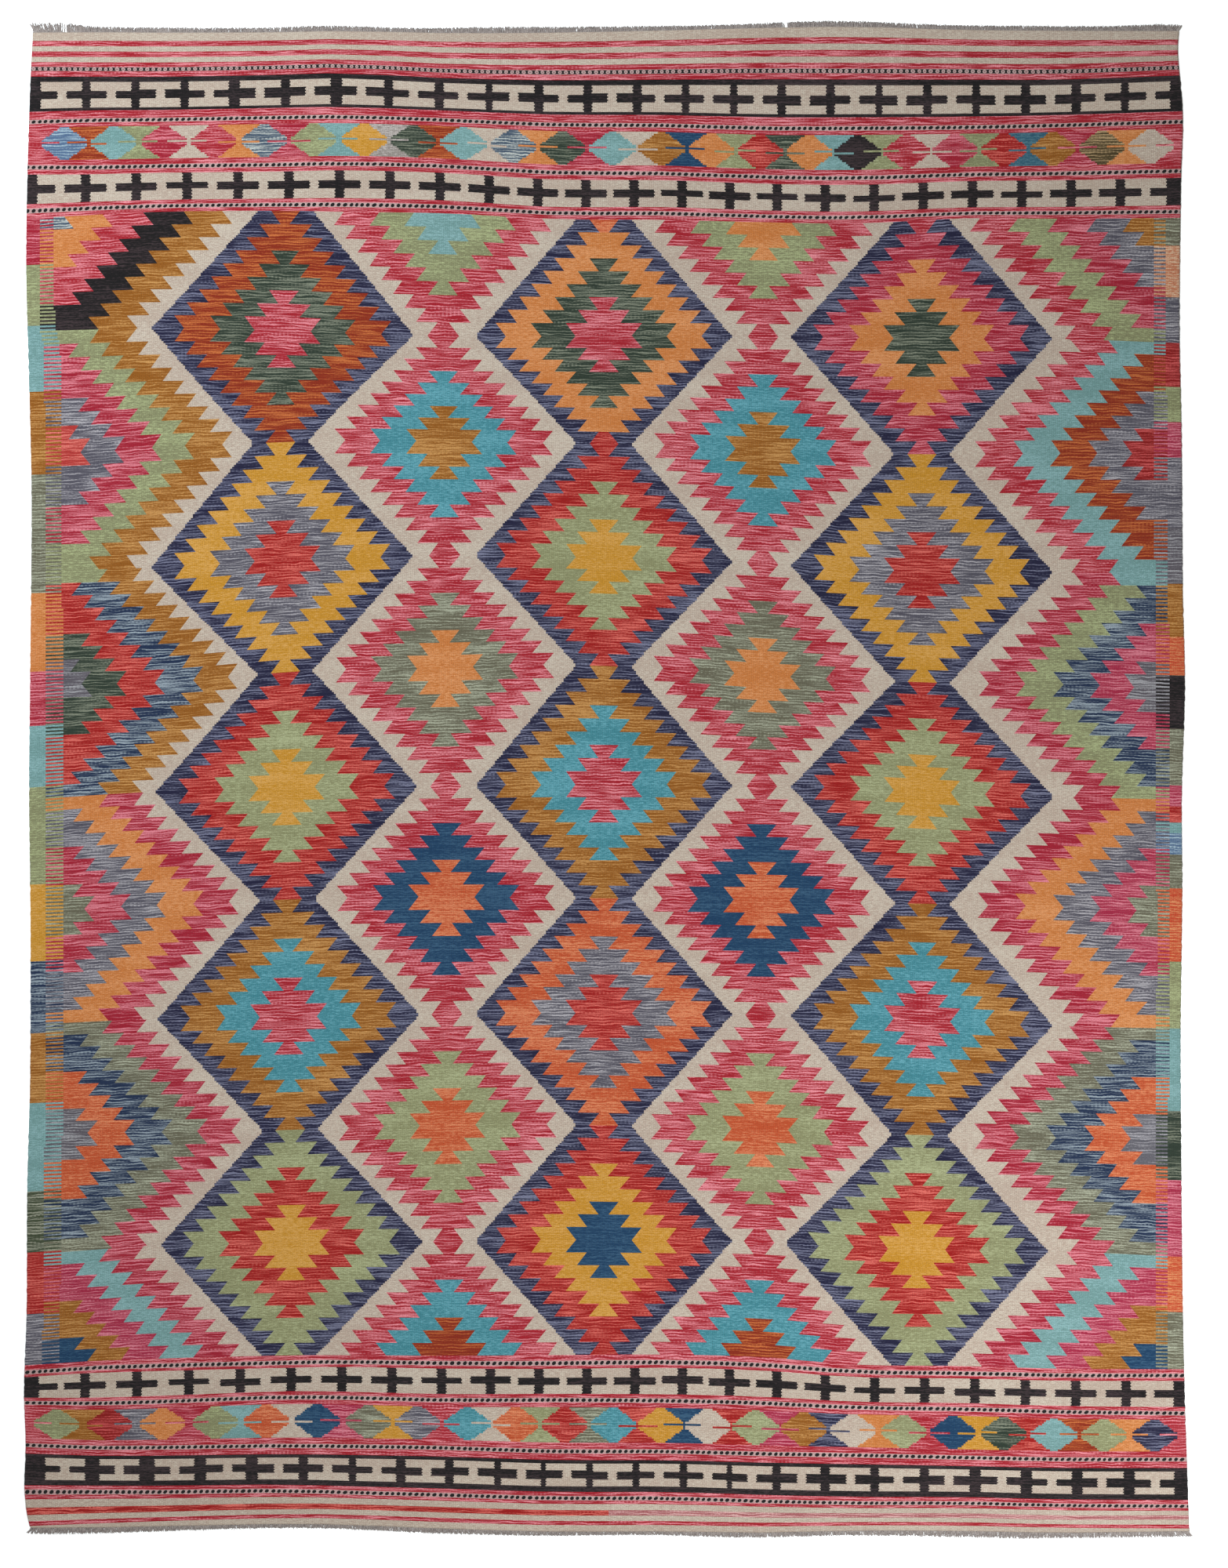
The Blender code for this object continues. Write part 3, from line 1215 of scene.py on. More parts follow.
# Blocks of yarn down each selvedge: the yarn and the depth in the field where it begins
LEFT_BLOCKS = (
    (Y.CRIMSON, 0), (Y.GREEN, 82), (Y.LIGHT_TURQUOISE, 191), (Y.OCHRE, 299), (Y.GREY_GREEN, 434),
    (Y.ORANGE, 637), (Y.CRIMSON, 772), (Y.LIGHT_TURQUOISE, 866), (Y.GREEN, 975), (Y.GOLD, 1149),
    (Y.STEEL_BLUE, 1284), (Y.OCHRE, 1413), (Y.LIGHT_TURQUOISE, 1539), (Y.MOSS, 1691), (Y.RED, 1793),
    (Y.GREY_BLUE, 1901),
)
RIGHT_BLOCKS = (
    (Y.GREY_GREEN, 0), (Y.PEACH, 45), (Y.GREY_BLUE, 127), (Y.DARK_RED, 198), (Y.GREEN, 277),
    (Y.ROSE, 342), (Y.GREY_BLUE, 406), (Y.GREY, 522), (Y.OCHRE, 618), (Y.RED_ORANGE, 710),
    (Y.BLACK, 774), (Y.GREY_GREEN, 870), (Y.ROSE, 972), (Y.RED, 1009), (Y.LIGHT_TURQUOISE, 1037),
    (Y.BLUE, 1057), (Y.GREY_GREEN, 1096), (Y.RED_ORANGE, 1156), (Y.GREEN, 1281), (Y.LIGHT_TURQUOISE, 1395),
    (Y.DARK_GREEN, 1545), (Y.ROSE, 1665), (Y.RED_ORANGE, 1794), (Y.GREY_GREEN, 1893),
)


def block_yarn(blocks: tuple[tuple[Yarn, float], ...], depth: float) -> Yarn:
    """The yarn of the selvedge block at a depth in the field."""
    begun = [yarn for yarn, start in blocks if start <= depth]
    return begun[-1]


@dataclass(frozen=True)
class DiamondField:
    """The middle of the rug: three columns of large stepped diamonds ringed in navy,
    small ones between them, and chevrons and comb stripes towards the selvedges.

    A smooth line gives a place across the rug by the depth in the field.

    Attributes:
        large_columns: Middles of the columns of large diamonds.
        small_columns: Middles of the columns of small ones.
        navy_half_widths: Of the navy surround at an equator, in each column.
        navy_tip_half_width: Of the navy surround where two diamonds meet.
        ring_half_widths: Of a large diamond's rings at its equator.
        small_half_widths: Of a small diamond's.
        teeth: The serrated edge of the diamonds.
        chevron_teeth: The serrated edge of the chevrons.
        least_chevron: The narrowest stretch of a chevron that is woven.
        left_comb: Outer edge of the left comb, and right_comb of the right one.
        left_inner: Inner edge of the left comb, and right_inner of the right one.
        beside_comb: How far past a comb its panel's yarn is looked up.
    """

    large_columns: tuple[SmoothLine, ...] = (
        smooth_line((0, -558), (400, -567), (800, -559), (1400, -553), (1800, -548), (1994, -552)),
        smooth_line((0, -5), (1994, -5)),
        smooth_line((0, 547), (1400, 548), (1800, 539), (1994, 543)),
    )
    small_columns: tuple[SmoothLine, ...] = (
        smooth_line((0, -285), (1000, -280), (1994, -274)),
        smooth_line((0, 273), (1000, 270), (1994, 264)),
    )
    navy_half_widths: tuple[float, ...] = (228.0, 223.0, 228.0)
    navy_tip_half_width: float = 47.5
    ring_half_widths: tuple[float, ...] = (170.5, 109.0, 49.0)
    small_half_widths: tuple[float, ...] = (172.0, 110.5, 48.5)
    teeth: Teeth = Teeth(back=20.3, tooth=17.3)
    chevron_teeth: Teeth = Teeth(back=20.7, tooth=17.5)
    least_chevron: float = 12.0
    beside_comb: float = 2.0
    left_comb: SmoothLine = smooth_line(
        (0, -987), (190, -985.5), (225, -979.5), (370, -976.5), (725, -976), (1298, -974.5), (1994, -981)
    )
    left_inner: SmoothLine = smooth_line(
        (0, -960), (190, -959), (225, -950.5), (370, -948), (725, -946), (1298, -943.5), (1994, -951.5)
    )
    right_comb: SmoothLine = smooth_line((0, 972), (215, 973), (957, 978.5), (1639, 976.5), (1994, 975))
    right_inner: SmoothLine = smooth_line((0, 950), (215, 950), (957, 956), (1639, 956), (1994, 954))

    def lay_diamond(
        self, course: Course, stretch: Stretch, middle: float, half_widths: tuple[float, ...],
        rings: Rings, step: int, away: bool,
    ) -> None:
        """Lay one course of a stepped diamond.

        Args:
            course: The course.
            stretch: Its place in the tooth row.
            middle: The diamond's middle across the rug.
            half_widths: Of its three rings, at its equator.
            rings: Their yarns.
            step: Tooth rows from its equator.
            away: Whether this is its near half.
        """
        tip = rings.near_tip if away else rings.far_tip
        outer = tip if tip and step == ROWS_IN_HALF - 1 else rings.outer
        for half_width, yarn in zip(half_widths, (outer, rings.middle, rings.heart)):
            if half_width - self.teeth.back * step <= 0:
                continue
            left, right = (
                tuple(middle + side * (half_width + shift) for shift in
                      self.teeth.shift(stretch, step, away, middle + side * half_width))
                for side in (-1, 1)
            )
            course.lay(left, right, yarn)

    def lay_large(self, course: Course, stretch: Stretch) -> None:
        """Lay the large diamonds, each inside its navy surround.

        Args:
            course: The course.
            stretch: Its place in the tooth row.
        """
        unit, place = divmod(stretch.row, 2 * ROWS_IN_HALF)
        away = place >= ROWS_IN_HALF
        step = place - ROWS_IN_HALF if away else ROWS_IN_HALF - 1 - place
        middle_share = (stretch.far + stretch.near) / 2
        rows_away = step + (middle_share if away else 1 - middle_share)
        for column, navy, rings in zip(self.large_columns, self.navy_half_widths, LARGE_DIAMONDS[unit]):
            middle = column.at(stretch.depth)
            reach = navy - (navy - self.navy_tip_half_width) * rows_away / ROWS_IN_HALF
            course.lay(middle - reach, middle + reach, Y.NAVY)
            self.lay_diamond(course, stretch, middle, self.ring_half_widths, rings, step, away)

    def lay_small(self, course: Course, stretch: Stretch, step: int, away: bool) -> None:
        """Lay the small diamonds, centred on the tip levels.

        Args:
            course: The course.
            stretch: Its place in the tooth row.
            step: Tooth rows from the tip level.
            away: Whether it lies past the tip level.
        """
        for column, rings in zip(self.small_columns, SMALL_DIAMONDS[stretch.level]):
            middle = column.at(stretch.depth)
            self.lay_diamond(course, stretch, middle, self.small_half_widths, rings, step, away)

    def lay_panels(self, course: Course, stretch: Stretch, step: int, away: bool) -> None:
        """Lay the chevrons on both sides, each from the row where it is wide enough to weave.

        Args:
            course: The course.
            stretch: Its place in the tooth row.
            step: Tooth rows from the tip level.
            away: Whether it lies past the tip level.
        """
        for panels, side, inner in (
            (LEFT_PANELS, 1, self.left_inner.at(stretch.depth)),
            (RIGHT_PANELS, -1, self.right_inner.at(stretch.depth)),
        ):
            yarns = list(panels[stretch.level].yarns)
            if stretch.row == 3 * ROWS_IN_HALF:
                yarns[1] = panels[stretch.level - 1].yarns[1]  # this yarn was changed a row late
            for reach, yarn in zip(panels[stretch.level].reaches, yarns):
                narrow_end = side * (reach - inner) - self.chevron_teeth.back * step
                if narrow_end < self.least_chevron:
                    continue
                shifts = self.chevron_teeth.shift(stretch, step, away, reach)
                edge = tuple(reach + side * shift for shift in shifts)
                if side > 0:
                    course.lay(-BEYOND_SELVEDGE, edge, yarn)
                else:
                    course.lay(edge, BEYOND_SELVEDGE, yarn)

    def lay_selvedges(self, course: Course, depth: float, block_runs_in: bool) -> None:
        """Lay the selvedge blocks, each tied to its panel by a comb of alternate yarns.

        Args:
            course: The course.
            depth: Its middle's depth in the field.
            block_runs_in: Whether the block's yarn runs in through the comb in this course.
                If not, the panel's yarn runs out through it.
        """
        left, right = block_yarn(LEFT_BLOCKS, depth), block_yarn(RIGHT_BLOCKS, depth)
        left_comb, left_inner = self.left_comb.at(depth), self.left_inner.at(depth)
        right_comb, right_inner = self.right_comb.at(depth), self.right_inner.at(depth)
        if not block_runs_in:
            course.lay(left_comb, left_inner, course.yarn_at(left_inner + self.beside_comb))
            course.lay(right_inner, right_comb, course.yarn_at(right_inner - self.beside_comb))
        course.lay(-BEYOND_SELVEDGE, left_inner if block_runs_in else left_comb, left)
        course.lay(right_inner if block_runs_in else right_comb, BEYOND_SELVEDGE, right)

    def courses(self) -> list[Course]:
        """Weave the field, tooth row by tooth row.

        Returns:
            Its courses, from the far end.
        """
        woven = []
        for row in range(FIELD_ROWS):
            level = (row + ROWS_IN_HALF) // (2 * ROWS_IN_HALF)
            place = row - 2 * ROWS_IN_HALF * level
            away = place >= 0
            step = place if away else -place - 1
            start = FIELD_DEPTH + row * TOOTH_ROW
            for far, near in cuts(0.0, 1.0, COURSES_IN_ROW):
                depth = start + (far + near) / 2 * TOOTH_ROW - FIELD_DEPTH
                stretch = Stretch(row, level, far, near, depth)
                course = Course(start + far * TOOTH_ROW, start + near * TOOTH_ROW, Y.BEIGE)
                self.lay_small(course, stretch, step, away)
                self.lay_large(course, stretch)
                self.lay_panels(course, stretch, step, away)
                self.lay_selvedges(course, depth, block_runs_in=len(woven) % 2 == 0)
                woven.append(course)
        return woven


# ---------------------------------------------------------------- end borders


FAR_LOZENGES = LozengeBand(
    lozenges=Repeat(23, smooth_line((0, -943), (11, 10), (22, 946))),
    lozenge_yarns=(
        Y.BLUE, Y.LIGHT_TURQUOISE, Y.CRIMSON, Y.PINK, Y.PALE_STEEL, Y.GREEN, Y.GOLD, Y.DARK_GREEN,
        Y.LIGHT_TURQUOISE, Y.PALE_STEEL, Y.DARK_GREEN, Y.LIGHT_TURQUOISE, Y.OCHRE, Y.ORANGE, Y.RED,
        Y.ORANGE, Y.BLACK, Y.PINK, Y.CRIMSON, Y.RED, Y.OCHRE, Y.OLIVE, Y.BEIGE,
    ),
    hourglass_yarns=(
        Y.RUST, Y.GREEN, Y.BEIGE, Y.ORANGE, Y.CRIMSON, Y.LIGHT_TURQUOISE, Y.SILVER, Y.RUST, Y.BEIGE,
        Y.ORANGE, Y.CRIMSON, Y.BEIGE, Y.TEAL, Y.LIGHT_GREEN, Y.DARK_GREEN, Y.LIGHT_TURQUOISE,
        Y.LIGHT_GREEN, Y.BEIGE, Y.GREEN, Y.PETROL, Y.CRIMSON, Y.ORANGE,
    ),
)
NEAR_LOZENGES = LozengeBand(
    lozenges=Repeat(23, smooth_line(
        (0, -956), (3, -681), (7, -328), (11, 11), (15, 343), (18, 603), (22, 952),
    )),
    lozenge_yarns=(
        Y.GREEN, Y.DARK_RED, Y.ORANGE, Y.GREEN, Y.CORAL, Y.TEAL, Y.GREY_GREEN, Y.GREY_BLUE,
        Y.TURQUOISE, Y.CORAL, Y.RED, Y.TURQUOISE, Y.GOLD, Y.BEIGE, Y.LIGHT_GREEN, Y.OCHRE, Y.BEIGE,
        Y.LIGHT_GREEN, Y.TEAL, Y.DARK_GREEN, Y.LIGHT_TURQUOISE, Y.LIGHT_GREEN, Y.NAVY,
    ),
    hourglass_yarns=(
        Y.OCHRE, Y.GREY_BLUE, Y.CRIMSON, Y.LIGHT_TURQUOISE, Y.BEIGE, Y.ROSE, Y.GOLD, Y.PINK, Y.BEIGE,
        Y.LIGHT_GREEN, Y.GREY_GREEN, Y.RED, Y.TEAL, Y.RED, Y.ROSE, Y.NAVY, Y.ORANGE, Y.PINK,
        Y.GOLD, Y.RED, Y.RUST, Y.ORANGE,
    ),
)


FAR_SPOOLS = SpoolBand(Repeat(23, smooth_line(
    (0, -949), (3, -691), (8, -248), (13, 179), (18, 600), (22, 944),
)))
NEAR_SPOOLS = SpoolBand(
    Repeat(23, smooth_line((0, -942), (3, -661), (7, -315), (12, 93), (15, 337), (18, 597), (22, 952))),
    bar_width=69.5, bar_height=12.5, margins=(6.2, 9.6), seed=9,
)
FAR_CROSSES = CrossBand(
    Repeat(22, smooth_line((0, -906), (7, -290), (12, 131), (15, 380), (21, 893))),
    end_blocks=(-989.7, -958.4, 945.0, 973.0),
)
NEAR_CROSSES = CrossBand(
    Repeat(22, smooth_line((0, -907), (3, -637), (7, -287), (11, 49), (15, 380), (21, 903))),
    end_blocks=(-987.0, -954.3, 952.0, 985.3), arm_width=71.0, arm_height=12.2, seed=8,
)

Band = Yarn | JoinedStripe | TwinedRow | SpoolBand | CrossBand | LozengeBand

# The bands of each border, in rows of the depth where a band ends and the band. A yarn
# alone is a plain stripe of it.
FAR_BORDER = (
    (1.2, Y.BEIGE), (3.4, Y.BEIGE), (16.2, Y.BEIGE), (26.0, Y.PINK), (35.5, Y.BEIGE), (45.5, Y.PINK),
    (55.0, Y.BEIGE), (63.7, Y.PINK), (71.3, TwinedRow(Y.BEADED)), (81.2, Y.PINK), (143.0, FAR_SPOOLS),
    (157.2, Y.PINK), (164.8, TwinedRow()), (171.9, Y.PINK), (229.2, FAR_LOZENGES), (239.0, Y.PINK),
    (246.6, TwinedRow()), (254.4, Y.PINK), (301.5, FAR_CROSSES), (308.6, Y.PINK), (316.2, TwinedRow()),
    (FIELD_DEPTH, Y.PINK),
)
NEAR_BORDER = (
    (2325.2, Y.PINK), (2332.8, TwinedRow()), (2337.8, Y.PINK), (2379.5, NEAR_CROSSES), (2385.9, Y.PINK),
    (2393.5, TwinedRow()), (2401.2, Y.PINK), (2457.5, NEAR_LOZENGES), (2467.8, Y.PINK),
    (2475.4, TwinedRow()), (2486.3, Y.PINK), (2541.1, NEAR_SPOOLS), (2548.2, Y.PINK),
    (2555.8, TwinedRow()), (2561.6, Y.PINK), (2571.8, Y.BEIGE),
    (2580.7, JoinedStripe(Y.RED, Y.PALE_PINK, joint=2.0)), (2589.6, Y.BEIGE), (2596.4, Y.PINK),
    (2604.6, Y.BEIGE), (2606.8, Y.BEIGE), (CLOTH_LENGTH, Y.BEIGE),
)


def border_courses(start: float, rows: Iterable[tuple[float, Band]]) -> list[Course]:
    """Weave a border's bands one after another, from the depth where the first begins.

    Args:
        start: That depth.
        rows: The depth where each band ends, and the band.

    Returns:
        Their courses.
    """
    woven = []
    for end, band in rows:
        woven += [Course(start, end, band)] if isinstance(band, Yarn) else band.courses(start, end)
        start = end
    return woven


# ---------------------------------------------------------------- cloth mesh


@dataclass(frozen=True)
class Crease:
    """A soft ridge along the warps, left by folding.

    Attributes:
        place: Its place across the rug.
        start: Depth where it begins.
        end: Depth where it ends.
        height: How far it lifts the cloth.
        half_width: Half its width.
        fade: Length over which it dies away, where it doesn't reach the cloth's end.
    """

    place: float
    start: float
    end: float
    height: float = 1.0
    half_width: float = 13.6
    fade: float = 40.0

    def lift(self, x: float, depth: float) -> float:
        """How far the crease lifts the cloth at a point.

        Args:
            x: Place across the rug.
            depth: Depth from the far end.

        Returns:
            The lift.
        """
        if not self.start <= depth <= self.end or abs(x - self.place) >= self.half_width:
            return 0.0
        across = 0.5 + 0.5 * math.cos(math.pi * (x - self.place) / self.half_width)
        along = min((depth - self.start) / self.fade, (self.end - depth) / self.fade, 1.0)
        return self.height * across * (along if self.start > 0 or depth > self.end - self.fade else 1.0)

    def columns(self) -> list[float]:
        """Places where the ridge needs vertices."""
        return [round(self.place + step * self.half_width, 1) for step in (-1, -0.5, 0, 0.5, 1)]


@dataclass
class KilimCloth:
    """The woven cloth as one closed mesh with rounded selvedges and both faces patterned.

    Attributes:
        creases: Soft ridges in it.
        rim_inset: How far in from an edge each vertex of its rounding lies.
        rim_share: How much of the half thickness the cloth has there.
        selvedge_roughness: How far the selvedge's turns stand out.
        rim_clearance: Least distance from the rim's inner column to a pattern edge.
        longest_chord: Longest straight side of a face along a weft line.
        clear_of_sides: Distance from a cut in a long stretch to the stretch's own ends.
        reach_of_cuts: How far from the middle a weft line between two courses is cut.
        plan_size: Side of the square of cloth that fills the flat picture map. Both faces
            share it, as they have one pattern.
        mesh: The mesh under way.
        made: Its vertices by weft line, column and side of the cloth.
        weave_places: Place across and depth of each vertex.
        lines: The weft lines that are in use.
    """

    creases: tuple[Crease, ...] = (
        Crease(619.7, 0.0, 330.0),
        Crease(686.5, 2470.0, CLOTH_LENGTH),
    )
    rim_inset: tuple[float, ...] = (0.0, 1.2, 3.4)
    rim_share: tuple[float, ...] = (0.0, 0.78, 1.0)
    selvedge_roughness: float = 0.5
    rim_clearance: float = 1.5
    longest_chord: float = 100.0
    clear_of_sides: float = 25.0
    reach_of_cuts: float = 960.0
    plan_size: float = 2660.0
    mesh: bmesh.types.BMesh = field(default_factory=bmesh.new)
    made: dict[tuple[float, float, bool | None], BMVert] = field(default_factory=dict)
    weave_places: dict[BMVert, tuple[float, float]] = field(default_factory=dict)
    lines: dict[float, SmoothLine] = field(default_factory=dict)

    def rim_columns(self, side: int) -> list[float]:
        """Names of the columns along a selvedge, as places far beyond it."""
        return sorted(side * (RIM_COLUMN - index) for index in range(len(self.rim_inset)))

    def across(self, column: float, depth: float) -> float:
        """Place across the rug of a column of vertices.

        Args:
            column: Name of the column.
            depth: Where along the rug.

        Returns:
            The place.
        """
        if abs(column) < BEYOND_SELVEDGE:
            return column
        side = 1 if column > 0 else -1
        edge = (RIGHT_SELVEDGE if side > 0 else LEFT_SELVEDGE).at(depth)
        wobble = noise.noise(Vector((side * 31.0, depth / 9.0, 0.0))) * 2 * self.selvedge_roughness
        return edge - side * (self.rim_inset[round(RIM_COLUMN - abs(column))] + wobble)

    def thickness_share(self, column: float, depth: float) -> float:
        """Share of the full thickness at a vertex, less than 1 beside an edge.

        Args:
            column: Its column.
            depth: Its depth.

        Returns:
            The share, from 0 to 1.
        """
        beside = abs(column) > BEYOND_SELVEDGE
        share_across = self.rim_share[round(RIM_COLUMN - abs(column))] if beside else 1.0
        inset = min(depth, CLOTH_LENGTH - depth)
        steps = zip(self.rim_inset, self.rim_share)
        share_along = max(share for limit, share in steps if inset >= limit - 0.01)
        return min(share_across, share_along)

    def vertex(self, depth: float, column: float, face_up: bool) -> BMVert:
        """The vertex on one weft line and column, made once. Both faces share the rim.

        Args:
            depth: Depth of the weft line.
            column: The column.
            face_up: Whether it lies on the upper side.

        Returns:
            The vertex.
        """
        share = self.thickness_share(column, depth)
        key = (depth, column, face_up if share > 0 else None)
        if key in self.made:
            return self.made[key]
        if depth not in self.lines:
            self.lines[depth] = weft_line(depth)
        x = self.across(column, depth)
        y = self.lines[depth].at(x)
        half = CLOTH_THICKNESS / 2
        z = half + (half if face_up else -half) * share
        z += sum(crease.lift(x, depth) for crease in self.creases)
        vertex = self.mesh.verts.new((x * MM, y * MM, z * MM))
        self.made[key] = vertex
        self.weave_places[vertex] = (x, depth)
        return vertex

    def course_sides(self, course: Course) -> list[tuple[float, float]]:
        """Far and near ends of every side in a course, with its rims and creases.

        Long stretches are cut, so that the pattern follows the weft line's curve.

        Args:
            course: The course.

        Returns:
            The far and near end of each side, from left to right.
        """
        rim = self.rim_columns(-1)
        ends = [(self.across(rim[-1], d), self.across(-rim[-1], d)) for d in (course.start, course.end)]
        first = max(left for left, _ in ends) + self.rim_clearance
        last = min(right for _, right in ends) - self.rim_clearance
        inner = {
            (round(run.far, 1), round(run.near, 1))
            for run in course.runs if first < min(run.far, run.near) and max(run.far, run.near) < last
        }
        inner |= {
            (place, place) for crease in self.creases if crease.start <= course.start <= crease.end
            for place in crease.columns()
            if not any(min(side) - 0.5 < place < max(side) + 0.5 for side in inner)
        }
        rims = [(column, column) for column in (*rim, *self.rim_columns(1))]
        sides = sorted([*rims, *inner], key=sum)
        for left, right in pairwise(list(sides)):
            start = max(*left, first) + self.clear_of_sides
            stop = min(*right, last) - self.clear_of_sides
            if stop - start > self.longest_chord:
                parts = math.ceil((stop - start) / self.longest_chord)
                cut_places = [round(start + (stop - start) * part / parts, 1) for part in range(parts + 1)]
                sides += [(place, place) for place in cut_places]
        return sorted(sides, key=sum)

    def followed(self, far: list[float], near: list[float]) -> list[float]:
        """Columns of the weft line between two courses, close enough to follow its curve.

        Args:
            far: Sides of the course before the line.
            near: Sides of the course after it.

        Returns:
            Places of its vertices, from left to right.
        """
        line = sorted({*far, *near})
        for left, right in pairwise(list(line)):
            first, last = max(left, -self.reach_of_cuts), min(right, self.reach_of_cuts)
            parts = math.ceil((last - first) / self.longest_chord)
            line += [round(first + (last - first) * part / parts, 1) for part in range(1, parts)]
        return sorted(set(line))

    def lay_face(self, courses: list[Course], face_up: bool, slots: dict[Yarn, int]) -> None:
        """Make one side of the cloth.

        Args:
            courses: All its courses, from the far end to the near one.
            face_up: Whether this is the upper side.
            slots: Material slot of each yarn.
        """
        uv = self.mesh.loops.layers.uv["weave"]
        plan = self.mesh.loops.layers.uv["OFBake"]
        sides = [self.course_sides(course) for course in courses]
        far_ends = [[far for far, _ in course_sides] for course_sides in sides]
        near_ends = [[near for _, near in course_sides] for course_sides in sides]
        lines = [
            self.followed(*ends)
            for ends in zip([far_ends[0], *near_ends], [*far_ends, near_ends[-1]])
        ]
        depths = [round(course.start, 3) for course in courses] + [CLOTH_LENGTH]
        for index, course in enumerate(courses):
            inner = [sum(side) / 2 for side in sides[index] if abs(side[0]) < BEYOND_SELVEDGE]
            inner = inner or [0.0]
            for left, right in pairwise(sides[index]):
                ring = []
                for step, end in ((1, 1), (0, 0)):
                    line = lines[index + step]
                    part = line[bisect_left(line, left[end]) : bisect_right(line, right[end])]
                    made = [self.vertex(depths[index + step], column, face_up) for column in part]
                    ring += made if step else reversed(made)
                if not face_up:
                    ring.reverse()
                face = self.mesh.faces.new(ring)
                face.smooth = True
                middle = (sum(left) + sum(right)) / 4
                middle = min(max(middle, inner[0] - 1.0), inner[-1] + 1.0)
                face.material_index = slots[course.yarn_at(middle)]
                for loop in face.loops:
                    x, depth = self.weave_places[loop.vert]
                    loop[uv].uv = (x * MM, (depth - course.twine_middle) * MM)
                    plan_x, plan_y = x / self.plan_size, (CLOTH_LENGTH / 2 - depth) / self.plan_size
                    loop[plan].uv = (0.5 + plan_x, 0.5 + plan_y)

    def build(self, courses: list[Course], wools: "WoolBasket") -> bpy.types.Object:
        """Weave both sides and dress the cloth.

        Args:
            courses: All the courses of the upper side.
            wools: The materials of the yarns.

        Returns:
            The cloth's object.
        """
        self.mesh.loops.layers.uv.new("weave")
        self.mesh.loops.layers.uv.new("OFBake")
        used = {run.yarn for course in courses for run in course.runs}
        yarns = [yarn for yarn in Yarn if yarn in used]
        slots = {yarn: index for index, yarn in enumerate(yarns)}
        self.lay_face(courses, True, slots)
        self.lay_face(courses, False, slots)
        bmesh.ops.recalc_face_normals(self.mesh, faces=self.mesh.faces[:])
        data = bpy.data.meshes.new("woven_cloth")
        self.mesh.to_mesh(data)
        self.mesh.free()
        for yarn in yarns:
            data.materials.append(wools.material(yarn))
        return link_object("woven_cloth", data)


# ---------------------------------------------------------------- fringes


